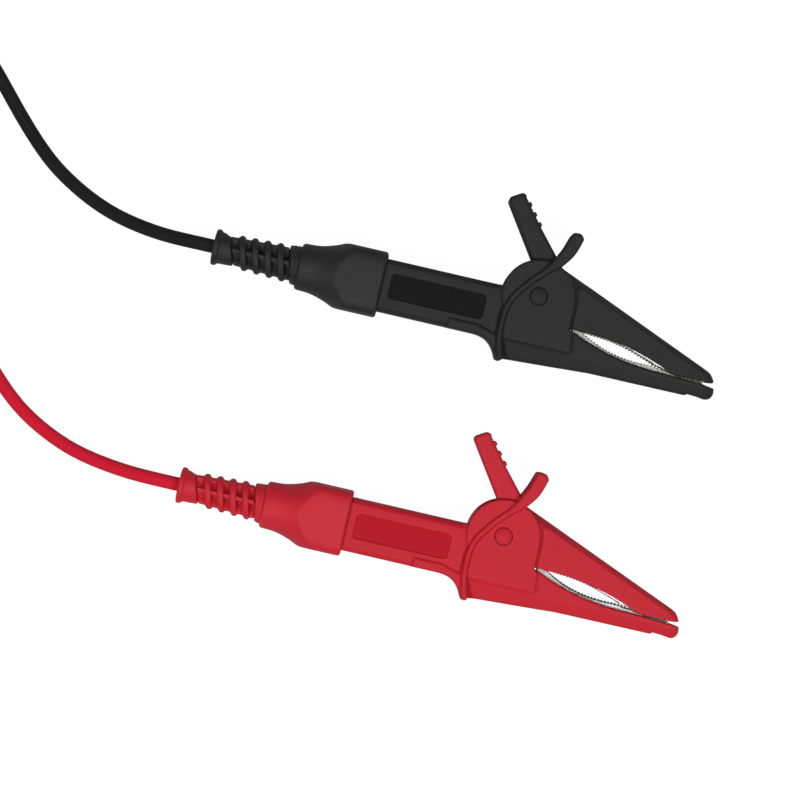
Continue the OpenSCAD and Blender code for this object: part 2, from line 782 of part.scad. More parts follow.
module piece(name, lead) {
  if (name == "housing_near") housing_near(lead);
  if (name == "housing_far") housing_far(lead);
  if (name == "jaw_lever") jaw_lever(lead);
  if (name == "upper_jaw_liner") upper_jaw_liner(lead);
  if (name == "lower_jaw_liner") lower_jaw_liner(lead);
  if (name == "pivot_pin") pivot_pin(lead);
  if (name == "pivot_cap_near") color(lead_colour(lead)) pivot_cap();
  if (name == "pivot_cap_far") color(lead_colour(lead)) mirror([0, 0, 1]) pivot_cap();
  if (name == "torsion_spring") torsion_spring(lead);
  if (name == "crimp_ferrule") crimp_ferrule(lead);
  if (name == "conductor") conductor(lead);
  if (name == "lead_in") lead_in(lead);
  if (name == "boot") boot(lead);
  if (name == "bend_relief") bend_relief(lead);
}

module table_piece(name, lead) {
  if (name == "cord") cord(lead);
  if (name == "cord_coil") cord_coil(lead);
  if (name == "coil_tie") coil_tie(lead);
  if (name == "cord_tail") cord_tail(lead);
  if (name == "plug_relief") plug_relief(lead);
  if (name == "plug_lead_in") plug_lead_in(lead);
  if (name == "plug_body") plug_body(lead);
  if (name == "plug_shroud") plug_shroud(lead);
  if (name == "plug_pin") plug_pin(lead);
  if (name == "plug_spring_cage") plug_spring_cage(lead);
}

for (lead = [0, 1])
  for (name = PIECES)
    if (wanted(lead, name))
      translate([lead_at(lead)[0], lead_at(lead)[1], 0]) {
        translate([0, 0, mid_z]) piece(name, lead);
        table_piece(name, lead);
      }
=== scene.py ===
"""A pair of insulated alligator clip leads, one black and one red, dressed around their frame.

Inside the shape code every length is in millimetres about a clip's own pivot: X runs along
the jaws, Y toward the thumb lever and Z up from the clip's middle plane. Points turn into
metres in the shared frame only when a piece is made.
"""

import json
import logging
import math
from dataclasses import dataclass, field
from enum import Enum
from typing import Callable, Mapping, Sequence

import bmesh
import bpy
import numpy as np
from bpy.types import Material, Mesh, Node, NodeSocket, NodeTree, Object
from mathutils import Euler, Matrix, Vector
from mathutils.geometry import delaunay_2d_cdt


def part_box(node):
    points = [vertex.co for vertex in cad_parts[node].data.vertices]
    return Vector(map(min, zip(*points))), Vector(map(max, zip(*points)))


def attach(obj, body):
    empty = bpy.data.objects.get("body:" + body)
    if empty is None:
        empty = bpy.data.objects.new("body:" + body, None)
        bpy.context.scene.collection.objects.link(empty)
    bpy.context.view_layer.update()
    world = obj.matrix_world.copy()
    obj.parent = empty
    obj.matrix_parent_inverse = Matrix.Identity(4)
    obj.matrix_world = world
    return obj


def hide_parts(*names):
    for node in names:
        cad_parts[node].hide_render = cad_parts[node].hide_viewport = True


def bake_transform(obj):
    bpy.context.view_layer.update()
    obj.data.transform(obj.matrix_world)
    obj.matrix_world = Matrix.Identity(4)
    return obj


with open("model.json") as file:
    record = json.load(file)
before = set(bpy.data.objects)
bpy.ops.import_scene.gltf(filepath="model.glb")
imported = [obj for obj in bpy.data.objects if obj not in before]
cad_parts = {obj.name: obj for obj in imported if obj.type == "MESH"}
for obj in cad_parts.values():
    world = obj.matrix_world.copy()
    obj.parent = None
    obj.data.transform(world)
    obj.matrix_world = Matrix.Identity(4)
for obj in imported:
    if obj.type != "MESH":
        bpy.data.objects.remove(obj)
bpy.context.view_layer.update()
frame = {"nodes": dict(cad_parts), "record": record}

MM = 0.001
# Points of one mesh nearer than this are one point, in metres
WELD = 2e-6
# A triangle's height as a share of its side
TRIANGLE_HEIGHT = 0.87
LOG = logging.getLogger("clip_leads")
Points = np.ndarray
Spot = Sequence[float]


# ---- Lines and outlines ----


def smooth_line(points: Sequence[Spot], steps: int) -> Points:
    """Runs a Catmull-Rom curve through points.

    Args:
        points: The points that the curve passes.
        steps: How many points each span gets.

    Returns:
        The curve's points, first and last included.
    """
    p = np.asarray(points, float)
    padded = np.vstack([p[:1], p, p[-1:]])
    made = []
    for a, b, c, d in zip(padded[:-3], padded[1:-2], padded[2:-1], padded[3:]):
        for t in np.arange(steps) / steps:
            squared, cubed = 2 * a - 5 * b + 4 * c - d, 3 * b - a - 3 * c + d
            made.append(0.5 * (2 * b + (c - a) * t + squared * t**2 + cubed * t**3))
    return np.vstack([made, p[-1:]])


def soften_corners(points: Sequence[Spot], radius: float, closed: bool = True) -> Points:
    """Rounds each corner of a line with a short curve.

    Args:
        points: The line's corners.
        radius: How far from a corner the curve starts, at most.
        closed: Whether the line closes on itself.

    Returns:
        The line with its corners rounded.
    """
    p = np.asarray(points, float)
    made = []
    for i, corner in enumerate(p):
        if not closed and i in (0, len(p) - 1):
            made.append(corner)
            continue
        before, after = p[i - 1], p[(i + 1) % len(p)]
        back, ahead = before - corner, after - corner
        cut = min(radius, np.linalg.norm(back) * 0.45, np.linalg.norm(ahead) * 0.45)
        a = corner + back / np.linalg.norm(back) * cut
        b = corner + ahead / np.linalg.norm(ahead) * cut
        for t in (0, 0.25, 0.5, 0.75, 1):
            made.append((1 - t) ** 2 * a + 2 * t * (1 - t) * corner + t**2 * b)
    return np.array(made)


def arc(centre: Spot, radius: float, start: float, end: float, steps: int) -> Points:
    """Gives the points of an arc, its angles in degrees."""
    angle = np.radians(np.linspace(start, end, steps + 1))
    return np.asarray(centre, float) + radius * np.column_stack([np.cos(angle), np.sin(angle)])


def ring(radius: float, centre: Spot = (0, 0), steps: int = 96) -> Points:
    """Gives a closed circle's points."""
    return arc(centre, radius, 0, 360, steps)[:-1]


def band(line: Points, half: Points, end: Points) -> Points:
    """Gives the closed outline of a line with a half width at each point and one round end.

    Args:
        line: The line's points.
        half: The half width at each.
        end: The outline's points past the line's first point, from its right to its left.

    Returns:
        The outline.
    """
    ahead = np.vstack([line[1:], line[-1:]]) - np.vstack([line[:1], line[:-1]])
    ahead /= np.linalg.norm(ahead, axis=1)[:, None]
    left = np.column_stack([-ahead[:, 1], ahead[:, 0]])
    turn = math.degrees(math.atan2(ahead[-1, 1], ahead[-1, 0]))
    last = arc(line[-1], half[-1], turn + 90, turn - 90, 8)[1:-1]
    return np.vstack([line + left * half[:, None], last, (line - left * half[:, None])[::-1], end])


def dense(outline: Points, spacing: float) -> Points:
    """Adds points along a closed outline.

    Args:
        outline: The outline.
        spacing: How far apart two neighbours may lie.

    Returns:
        The outline with more points.
    """
    made = []
    for a, b in zip(outline, np.roll(outline, -1, axis=0)):
        count = max(1, math.ceil(np.linalg.norm(b - a) / spacing))
        made.extend(a + (b - a) * k / count for k in range(count))
    return np.array(made)


def signed_distance(points: Points, outline: Points) -> np.ndarray:
    """Measures how far points lie from a closed outline.

    Args:
        points: The points, one a row.
        outline: The outline's corners in order.

    Returns:
        A distance for each point, negative inside.
    """
    far = np.full(len(points), 1e9)
    inside = np.zeros(len(points), bool)
    x, y = points[:, 0], points[:, 1]
    for a, b in zip(outline, np.roll(outline, -1, axis=0)):
        edge = b - a
        along = np.clip(((x - a[0]) * edge[0] + (y - a[1]) * edge[1]) / max(edge @ edge, 1e-12), 0, 1)
        far = np.minimum(far, (x - a[0] - along * edge[0]) ** 2 + (y - a[1] - along * edge[1]) ** 2)
        if a[1] != b[1]:
            crosses = (a[1] > y) != (b[1] > y)
            inside ^= crosses & (x < a[0] + (y - a[1]) * edge[0] / edge[1])
    return np.where(inside, -1, 1) * np.sqrt(far)


def smooth_max(a: np.ndarray, b: np.ndarray, blend: float) -> np.ndarray:
    """Takes the higher of two heights, with a fillet where they meet."""
    near = np.maximum(blend - np.abs(a - b), 0) / blend
    return np.maximum(a, b) + near**2 * blend / 4


def smooth_min(a: np.ndarray, b: np.ndarray, blend: float) -> np.ndarray:
    """Takes the lower of two heights, with a fillet where they meet."""
    return -smooth_max(-a, -b, blend)


def level(z: float) -> Callable[[Points], np.ndarray]:
    """Gives a function that puts every point at one height."""
    return lambda p: np.full(len(p), z)


def turns(sides: int) -> np.ndarray:
    """Gives evenly spaced angles of one whole turn."""
    return np.linspace(0, 2 * math.pi, sides, endpoint=False)


def ramp(x: np.ndarray) -> np.ndarray:
    """Rises smoothly from 0 to 1 as x does."""
    t = np.clip(x, 0, 1)
    return t * t * (3 - 2 * t)


# ---- Shapes ----


@dataclass
class Shape:
    """Points in millimetres about a clip's pivot, faces between them, and each face's finish."""

    points: Points
    faces: list[tuple[int, ...]]
    finish: list[int] = field(default_factory=list)

    def __post_init__(self) -> None:
        """Gives every face the first finish where none is stated."""
        self.points = np.asarray(self.points, float)
        if not self.finish:
            self.finish = [0] * len(self.faces)

    def flipped(self) -> "Shape":
        """Mirrors the shape across the clip's middle plane."""
        return Shape(self.points * [1, 1, -1], [f[::-1] for f in self.faces], list(self.finish))

    def moved(self, by: Spot) -> "Shape":
        """Moves the shape."""
        return Shape(self.points + np.asarray(by, float), self.faces, list(self.finish))

    def onto(self, x: Spot, y: Spot, z: Spot) -> "Shape":
        """Turns the shape so that its axes lie along x, y and z."""
        return Shape(self.points @ np.array([x, y, z], float), self.faces, list(self.finish))

    def along_x(self, start: float, y: float) -> "Shape":
        """Lays a shape turned about Z along X instead, from start, at a height y."""
        return self.onto((0, 0, -1), (0, 1, 0), (1, 0, 0)).moved((start, y, 0))


def joined(*shapes: Shape) -> Shape:
    """Puts several shapes into one.

    Args:
        shapes: The shapes.

    Returns:
        One shape, its parts still apart.
    """
    faces, finish, start = [], [], 0
    for s in shapes:
        faces += [tuple(i + start for i in f) for f in s.faces]
        finish += s.finish
        start += len(s.points)
    return Shape(np.vstack([s.points for s in shapes]), faces, finish)


def without_loose(shape: Shape) -> Shape:
    """Leaves out the points that no face uses.

    Args:
        shape: The shape.

    Returns:
        The shape with only its faces' points.
    """
    used = np.zeros(len(shape.points), bool)
    for f in shape.faces:
        used[list(f)] = True
    place = np.cumsum(used) - 1
    return Shape(shape.points[used], [tuple(int(place[i]) for i in f) for f in shape.faces], shape.finish)


def skin(rings: Points, closed: bool = False, cap: bool = True) -> Shape:
    """Joins a row of rings into one closed surface.

    Args:
        rings: The rings, each with as many points as the others.
        closed: Whether the last ring joins the first, as on a tube's wall.
        cap: Whether the two ends are filled, where the row doesn't close.

    Returns:
        The surface.
    """
    rows, sides = rings.shape[:2]
    faces = []
    for i in range(rows if closed else rows - 1):
        j = (i + 1) % rows
        for k in range(sides):
            m = (k + 1) % sides
            faces.append((i * sides + k, i * sides + m, j * sides + m, j * sides + k))
    if cap and not closed:
        faces.append(tuple(range(sides))[::-1])
        faces.append(tuple((rows - 1) * sides + k for k in range(sides)))
    return Shape(rings.reshape(-1, 3), faces)


def turned(profile: Sequence[Spot], radius: float = 0, sides: int = 64, hollow: bool = False) -> Shape:
    """Turns a profile about Z.

    Args:
        profile: Heights and radii, from the low end to the high end.
        radius: How far the profile's corners are rounded.
        sides: How many sides the turned piece gets.
        hollow: Whether the profile closes on itself around a bore.

    Returns:
        The turned piece.
    """
    line = soften_corners(profile, radius, closed=hollow) if radius else np.asarray(profile, float)
    angle = turns(sides)
    rings = np.stack(
        [np.column_stack([r * np.cos(angle), r * np.sin(angle), np.full(sides, h)]) for h, r in line]
    )
    return skin(rings, closed=hollow)


def wire(path: Points, radius: float, sides: int = 12) -> Shape:
    """Sweeps a round section along a path, without twist.

    Args:
        path: The centreline's points.
        radius: The section's radius.
        sides: How many sides the section gets.

    Returns:
        The wire, closed at both ends.
    """
    ahead = np.gradient(path, axis=0)
    ahead /= np.linalg.norm(ahead, axis=1)[:, None]
    side = np.cross(ahead[0], (0, 0, 1.0))
    if np.linalg.norm(side) < 1e-3:
        side = np.array((1.0, 0, 0))
    angle = turns(sides)
    rings = []
    for at, t in zip(path, ahead):
        side = side - t * (side @ t)
        side /= np.linalg.norm(side)
        up = np.cross(side, t)
        rings.append(at + radius * (np.outer(np.cos(angle), side) - np.outer(np.sin(angle), up)))
    return skin(np.array(rings))


# ---- Moulded relief ----


@dataclass(frozen=True)
class Raised:
    """A raised part of a moulded face: its outlines, its height, and how its edge falls away."""

    outlines: tuple[Points, ...]
    top: Callable[[Points], np.ndarray]
    edge: float = 0.5
    chamfer: float = 0.0
    flank: float = 3.0
    foot: float = 0.5

    def distance(self, p: Points) -> np.ndarray:
        """Measures how far points lie from the part, negative inside."""
        return np.min([signed_distance(p, o) for o in self.outlines], axis=0)

    def height(self, p: Points, d: np.ndarray) -> np.ndarray:
        """Gives the part's height.

        Args:
            p: The points.
            d: How far each lies from the part's outline.

        Returns:
            A height for each.
        """
        inward = np.maximum(-d, 0)
        short = np.maximum(self.edge - inward, 0)
        drop = self.edge - np.sqrt(np.maximum(self.edge**2 - short**2, 0))
        if self.chamfer:
            drop = drop + np.maximum(smooth_max(self.chamfer - inward, 0 * inward, 0.5), 0)
        return self.top(p) - drop - self.flank * np.maximum(d, 0)

    def rows(self) -> tuple[float, ...]:
        """Gives the distances from the outline at which the mesh needs points."""
        inside = (-0.12 * self.edge, -0.45 * self.edge, -self.edge)
        slope = (-self.chamfer, -self.chamfer - 0.35, -self.chamfer + 0.35) if self.chamfer else ()
        return (*inside, *slope, 0.25 * self.foot, self.foot)


@dataclass(frozen=True)
class Sunk:
    """A shallow sinking in a moulded face, and the finish of its floor."""

    outline: Points
    depth: float
    soft: float
    finish: int = 0

    def distance(self, p: Points) -> np.ndarray:
        """Measures how far points lie from the sinking, negative inside."""
        return signed_distance(p, self.outline)

    def rows(self) -> tuple[float, ...]:
        """Gives the distances from the outline at which the mesh needs points."""
        return (-0.5 * self.soft, -self.soft)


@dataclass(frozen=True)
class Hollow:
    """A space behind a moulded face: its outlines, its ceiling, and posts that stand in it."""

    outlines: tuple[Points, ...]
    ceiling: float
    posts: tuple[Points, ...] = ()

    def holds(self, p: Points) -> np.ndarray:
        """Says of each point whether it lies in the space."""
        inside = np.min([signed_distance(p, o) for o in self.outlines], axis=0) < 0
        for post in self.posts:
            inside &= signed_distance(p, post) > 0
        return inside


@dataclass(frozen=True)
class Moulding:
    """Half of a moulded piece, from its middle plane up to a face with relief."""

    raised: tuple[Raised, ...]
    sunk: tuple[Sunk, ...] = ()
    hollows: tuple[Hollow, ...] = ()
    holes: tuple[Points, ...] = ()
    guides: tuple[Points, ...] = ()
    spacing: float = 0.9
    fine: float = 0.45
    # How near an outline, or a row beside one, a loose point may lie
    clear_of_line: float = 0.3
    clear_of_row: float = 0.22
    # How far a row's point may lie off its distance, as at a corner, before it is dropped
    row_slip: float = 0.03
    # Of the loose points in one square this wide, one is kept
    cell: float = 0.11
    thinnest: float = 0.05

    def height(self, p: Points) -> np.ndarray:
        """Gives the face's height.

        Args:
            p: The points.

        Returns:
            A height for each.
        """
        z = None
        for part in self.raised:
            h = part.height(p, part.distance(p))
            z = h if z is None else smooth_max(z, h, part.foot)
        for dip in self.sunk:
            z = z - dip.depth * ramp(-dip.distance(p) / dip.soft)
        return z

    def solid_at(self, p: Points) -> np.ndarray:
        """Says of each point whether it lies on the piece and off its holes."""
        on = np.min([part.distance(p) for part in self.raised], axis=0) < 0
        for hole in self.holes:
            on &= signed_distance(p, hole) > 0
        return on

    def _plan(self) -> tuple[Points, list[tuple[int, int]]]:
        """Plans the mesh, seen along the pivot.

        Returns:
            Its points, and the lines between them that it has to keep.
        """
        kept: list[Points] = []
        lines: list[tuple[int, int]] = []
        count = 0
        outlines = [o for part in self.raised for o in part.outlines]
        outlines += [dip.outline for dip in self.sunk] + list(self.holes) + list(self.guides)
        outlines += [o for h in self.hollows for o in (*h.outlines, *h.posts)]
        for outline in outlines:
            loop = dense(outline, self.fine)
            lines += [(count + k, count + (k + 1) % len(loop)) for k in range(len(loop))]
            kept.append(loop)
            count += len(loop)
        low, high = np.min(np.vstack(kept), axis=0), np.max(np.vstack(kept), axis=0)
        across = np.arange(low[0], high[0], self.spacing)
        up = np.arange(low[1], high[1], self.spacing * TRIANGLE_HEIGHT)
        half = self.spacing / 2
        grid = np.array([(x + (j % 2) * half, y) for j, y in enumerate(up) for x in across])
        clear = np.ones(len(grid), bool)
        shaped = [(part.outlines, part.rows(), part.distance) for part in self.raised]
        shaped += [((dip.outline,), dip.rows(), dip.distance) for dip in self.sunk]
        for loops, rows, distance in shaped:
            d = distance(grid)
            clear &= np.abs(d) > self.clear_of_line
            for row in rows:
                clear &= np.abs(d - row) > self.clear_of_row
                for outline in loops:
                    loop = dense(outline, self.fine)
                    ahead = np.roll(loop, -1, axis=0) - np.roll(loop, 1, axis=0)
                    ahead /= np.maximum(np.linalg.norm(ahead, axis=1), 1e-9)[:, None]
                    (x, y), (u, v) = loop.T, np.roll(loop, -1, axis=0).T
                    way = 1 if np.sum(x * v - y * u) > 0 else -1
                    out = np.column_stack([ahead[:, 1], -ahead[:, 0]]) * way
                    moved = loop + out * row
                    kept.append(moved[np.abs(distance(moved) - row) < self.row_slip])
        kept.append(grid[clear])
        every = np.vstack(kept)
        loose = every[count:]
        cells = {tuple(c) for c in np.round(every[:count] / self.cell).astype(int)}
        chosen = []
        for p, c in zip(loose, np.round(loose / self.cell).astype(int)):
            if tuple(c) not in cells:
                cells.add(tuple(c))
                chosen.append(p)
        return np.vstack([every[:count], np.array(chosen)]), lines

    def build(self, whole: bool) -> Shape:
        """Makes the half as a closed mesh, or the whole piece from two such halves.

        Args:
            whole: Whether the half's mirror image is joined to it across the middle plane.

        Returns:
            The piece.
        """
        plan, lines = self._plan()
        found, _, triangles, *_ = delaunay_2d_cdt([Vector(p) for p in plan], lines, [], 0, 1e-4)
        p = np.array([v[:2] for v in found])
        t = np.array([f for f in triangles if len(f) == 3])
        a, b, c = p[t[:, 0]], p[t[:, 1]], p[t[:, 2]]
        twice = (b[:, 0] - a[:, 0]) * (c[:, 1] - a[:, 1]) - (b[:, 1] - a[:, 1]) * (c[:, 0] - a[:, 0])
        t[twice < 0] = t[twice < 0][:, ::-1]
        t = t[np.abs(twice) > 1e-6]
        middle = p[t].mean(axis=1)
        on = self.solid_at(middle)
        t, middle = t[on], middle[on]
        level = np.zeros(len(t))
        for hollow in self.hollows:
            level = np.where(hollow.holds(middle), np.maximum(level, hollow.ceiling), level)
        finish = np.zeros(len(t), int)
        for dip in self.sunk:
            finish[dip.distance(middle) < -dip.soft] = dip.finish
        top = self.height(p)
        points: list[tuple[float, float, float]] = [(x, y, z) for (x, y), z in zip(p, top)]
        below: dict[tuple[int, float], int] = {}

        def under(i: int, z: float) -> int:
            """Finds or makes the point under a plan point at a level."""
            if (i, z) not in below:
                below[(i, z)] = len(points)
                points.append((p[i][0], p[i][1], min(z, top[i] - self.thinnest)))
            return below[(i, z)]

        faces: list[tuple[int, ...]] = [tuple(f) for f in t]
        kinds = list(finish)
        beside: dict[tuple[int, int], int] = {}
        for n, (i, j, k) in enumerate(t):
            for edge in ((i, j), (j, k), (k, i)):
                beside[edge] = n
            if level[n] > 0 or not whole:
                faces.append((under(k, level[n]), under(j, level[n]), under(i, level[n])))
                kinds.append(0)
        for (i, j), n in beside.items():
            other = beside.get((j, i))
            if other is None:
                faces.append((under(i, level[n]), under(j, level[n]), j, i))
                kinds.append(0)
            elif level[other] > level[n]:
                faces.append(
                    (under(i, level[n]), under(j, level[n]), under(j, level[other]), under(i, level[other]))
                )
                kinds.append(0)
        half = without_loose(Shape(np.array(points), faces, [int(k) for k in kinds]))
        if not whole:
            return half
        return joined(half, half.flipped())


# ---- Making pieces ----


class Colour(Enum):
    """The two leads of the pair, by colour."""

    BLACK = "black"
    RED = "red"


class Jaw(Enum):
    """A clip's two jaws: the rocker carries the upper one, the housing the lower one."""

    UPPER = "upper"
    LOWER = "lower"


BODY_OF: dict[str, str] = {
    node: body for body, nodes in frame["record"]["behaviour"]["bodies"].items() for node in nodes
}


def split_at_ends(work: bmesh.types.BMesh) -> None:
    """Splits every open edge where another open edge's end touches it, so that they can merge.

    Args:
        work: The mesh, changed in place.
    """
    queue = [edge for edge in work.edges if edge.is_boundary]
    ends = [point for point in work.verts if any(edge.is_boundary for edge in point.link_edges)]
    while queue:
        edge = queue.pop()
        first, last = edge.verts
        way = last.co - first.co
        for point in ends:
            part = (point.co - first.co).dot(way) / way.length_squared
            on_it = (first.co.lerp(last.co, part) - point.co).length < WELD
            if on_it and WELD < part * way.length < way.length - WELD:
                new_edge, new_point = bmesh.utils.edge_split(edge, first, part)
                new_point.co = point.co
                queue += [edge, new_edge]
                break


def weld(mesh: Mesh) -> None:
    """Merges a mesh's doubled points, as along a mirror's middle, and turns its faces outwards.

    Args:
        mesh: The mesh, changed in place.
    """
    work = bmesh.new()
    work.from_mesh(mesh)
    bmesh.ops.remove_doubles(work, verts=work.verts[:], dist=WELD)
    split_at_ends(work)
    bmesh.ops.remove_doubles(work, verts=work.verts[:], dist=WELD)
    bmesh.ops.recalc_face_normals(work, faces=work.faces[:])
    work.to_mesh(mesh)
    work.free()


def wear_along_edges(mesh: Mesh) -> None:
    """Marks where a mesh's surface turns outwards, for the finishes to rub bright.

    Args:
        mesh: The mesh, which gets a value "wear" at each point, 0 where flat or hollow.
    """
    count = len(mesh.vertices)
    at = np.zeros(count * 3)
    mesh.vertices.foreach_get("co", at)
    at = at.reshape(-1, 3)
    normal = np.zeros(count * 3)
    mesh.vertices.foreach_get("normal", normal)
    normal = normal.reshape(-1, 3)
    ends = np.zeros(len(mesh.edges) * 2, int)
    mesh.edges.foreach_get("vertices", ends)
    a, b = ends.reshape(-1, 2).T
    step = at[b] - at[a]
    step /= np.maximum(np.linalg.norm(step, axis=1), 1e-9)[:, None]
    total, links = np.zeros(count), np.zeros(count)
    np.add.at(total, a, -np.einsum("ij,ij->i", step, normal[a]))
    np.add.at(total, b, np.einsum("ij,ij->i", step, normal[b]))
    np.add.at(links, a, 1)
    np.add.at(links, b, 1)
    value = np.clip(total / np.maximum(links, 1) * 2.2 - 0.05, 0, 1).astype(np.float32)
    mesh.attributes.new("wear", "FLOAT", "POINT").data.foreach_set("value", value)


@dataclass(frozen=True)
class Lead:
    """One of the two leads: its colour, its nodes' names and where its clip's pivot lies."""

    colour: Colour

    @property
    def name(self) -> str:
        """The word that its nodes' names start with."""
        return self.colour.value

    @property
    def pivot(self) -> Points:
        """The middle of the pivot pin, in metres."""
        low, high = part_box(f"{self.name}_pivot_pin")
        return (np.array(low) + np.array(high)) / 2

    def place(self, points: Points) -> Points:
        """Turns millimetres about the pivot into metres in the shared frame."""
        return np.asarray(points, float) * MM + self.pivot

    def node(self, part: str) -> str:
        """Gives the full name of one of this lead's nodes."""
        return f"{self.name}_{part}"

    def mesh(self, name: str, shape: Shape) -> Mesh:
        """Makes a mesh of a shape, in place, under the name after the lead's."""
        mesh = bpy.data.meshes.new(self.node(name))
        mesh.from_pydata(self.place(shape.points).tolist(), [], [list(f) for f in shape.faces])
        mesh.polygons.foreach_set("material_index", np.array(shape.finish, np.int32))
        return mesh

    def make(
        self,
        name: str,
        made: Shape | Mesh,
        materials: Sequence[Material],
        slot: str,
        stands_for: Sequence[str] = (),
        rides: str = "",
        sharp: float = 40,
        winds: float = 0,
    ) -> Object:
        """Makes a piece of the lead.

        Args:
            name: The piece's name after the lead's.
            made: Its shape about the pivot, or a mesh that is already in place.
            materials: Its finishes, in the order that the faces count them.
            slot: The record's slot for its finish; it is not used.
            stands_for: The nodes that it replaces, without the lead's name.
            rides: The node whose body it moves with, where that isn't the first replaced.
            sharp: The angle in degrees past which an edge is drawn sharp.
            winds: Half the height over which the piece winds from the clip to the rocker, if it
            does so; such a piece is baked in place and joins no body.

        Returns:
            The piece.
        """
        mesh = self.mesh(name, made) if isinstance(made, Shape) else made
        for material in materials:
            if material.name not in mesh.materials:
                mesh.materials.append(material)
        mesh.update()
        mesh.validate()
        weld(mesh)
        mesh.shade_smooth()
        mesh.set_sharp_from_angle(angle=math.radians(sharp))
        wear_along_edges(mesh)
        piece = bpy.data.objects.new(self.node(f"{name}_dressed"), mesh)
        bpy.context.scene.collection.objects.link(piece)
        if winds:
            low, high = self.place(np.array([(0, 0, -winds), (0, 0, winds)]))
            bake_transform(piece)
        else:
            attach(piece, BODY_OF[self.node(rides or stands_for[0])])
        if stands_for:
            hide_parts(*[self.node(n) for n in stands_for])
        LOG.info("%s: %d points, %d faces", piece.name, len(mesh.vertices), len(mesh.polygons))
        return piece

    def keep(self, part: str, material: Material) -> None:
        """Leaves a frame node showing, in a better finish.

        Args:
            part: The node's name after the lead's.
            material: The finish.
        """
        node = frame["nodes"][self.node(part)]
        if not node.material_slots:
            node.data.materials.append(material)
        for slot in node.material_slots:
            slot.material = material


# ---- Node trees ----


# The colour sockets of a mix node, which share their names with its other kinds
MIX_A, MIX_B, MIX_OUT = 6, 7, 2


def add_node(
    tree: NodeTree, kind: str, wires: Mapping[int | str, object] | None = None, **settings: object
) -> Node:
    """Adds a node to a tree.

    Args:
        tree: The tree.
        kind: The node's type.
        wires: What goes into its inputs: a value, or another node's output.
        settings: Its own settings.

    Returns:
        The node.
    """
    node = tree.nodes.new(kind)
    for key, value in settings.items():
        setattr(node, key, value)
    for key, value in (wires or {}).items():
        if isinstance(value, NodeSocket):
            tree.links.new(value, node.inputs[key])
        else:
            node.inputs[key].default_value = value
    return node


def linear(colour: str, alpha: float = 1.0) -> tuple[float, float, float, float]:
    """Turns an sRGB hex colour into the linear values that the shaders use.

    Args:
        colour: The colour, as #rrggbb.
        alpha: How opaque it is.

    Returns:
        Red, green, blue and alpha.
    """
    parts = [int(colour[i : i + 2], 16) / 255 for i in (1, 3, 5)]
    r, g, b = (c / 12.92 if c <= 0.04045 else ((c + 0.055) / 1.055) ** 2.4 for c in parts)
    return r, g, b, alpha


def per_mm(size: float) -> float:
    """Gives the texture scale at which a pattern's features are size millimetres apart."""
    return 1 / (size * MM)


@dataclass(frozen=True)
class Started:
    """A material that has been started: its tree, its shader and its texture coordinates."""

    material: Material
    tree: NodeTree
    shader: Node
    place: Node

    def noise(
        self, where: NodeSocket, scale: float, detail: float, rough: float = 0.5
    ) -> NodeSocket:
        """Adds a noise and gives its value."""
        wires = {"Vector": where, "Scale": scale, "Detail": detail, "Roughness": rough}
        return add_node(self.tree, "ShaderNodeTexNoise", wires).outputs["Fac"]

    def stretched(self, where: NodeSocket, scale: Spot) -> NodeSocket:
        """Stretches a pattern's place along each axis."""
        return add_node(self.tree, "ShaderNodeMapping", {"Vector": where, "Scale": scale}).outputs["Vector"]

    def spread(
        self, value: NodeSocket, low: float, high: float, start: float = 0.3, end: float = 0.7
    ) -> NodeSocket:
        """Spreads a value's run from start to end over low to high."""
        wires = {"Value": value, "From Min": start, "From Max": end, "To Min": low, "To Max": high}
        return add_node(self.tree, "ShaderNodeMapRange", wires).outputs["Result"]

    def mixed(
        self, share: NodeSocket, first: NodeSocket | str, second: str
    ) -> NodeSocket:
        """Mixes a share of the second colour into the first, each in hex or as a socket."""
        start = linear(first) if isinstance(first, str) else first
        wires = {"Factor": share, MIX_A: start, MIX_B: linear(second)}
        return add_node(self.tree, "ShaderNodeMix", wires, data_type="RGBA").outputs[MIX_OUT]

    def dressed(
        self,
        colour: NodeSocket,
        gloss: NodeSocket,
        height: NodeSocket,
        strength: float,
        relief: float,
    ) -> Material:
        """Gives the shader its colour, roughness and bump.

        Args:
            colour: The colour.
            gloss: The roughness.
            height: The pattern that the bump follows.
            strength: The bump's strength.
            relief: The bump's height in millimetres.

        Returns:
            The material.
        """
        wires = {"Height": height, "Strength": strength, "Distance": relief * MM}
        bump = add_node(self.tree, "ShaderNodeBump", wires)
        self.tree.links.new(colour, self.shader.inputs["Base Color"])
        self.tree.links.new(gloss, self.shader.inputs["Roughness"])
        self.tree.links.new(bump.outputs["Normal"], self.shader.inputs["Normal"])
        return self.material


class Finish:
    """A finish's base, which starts its material."""

    name: str

    def start(self, lead: str = "") -> Started:
        """Starts the material.

        Args:
            lead: The lead that the finish is for, where the two differ.

        Returns:
            The started material.
        """
        material = bpy.data.materials.new(f"{lead}_{self.name}" if lead else self.name)
        material.use_nodes = True
        tree = material.node_tree
        tree.nodes.clear()
        shader = add_node(tree, "ShaderNodeBsdfPrincipled")
        add_node(tree, "ShaderNodeOutputMaterial", {"Surface": shader.outputs["BSDF"]})
        return Started(material, tree, shader, add_node(tree, "ShaderNodeTexCoord"))


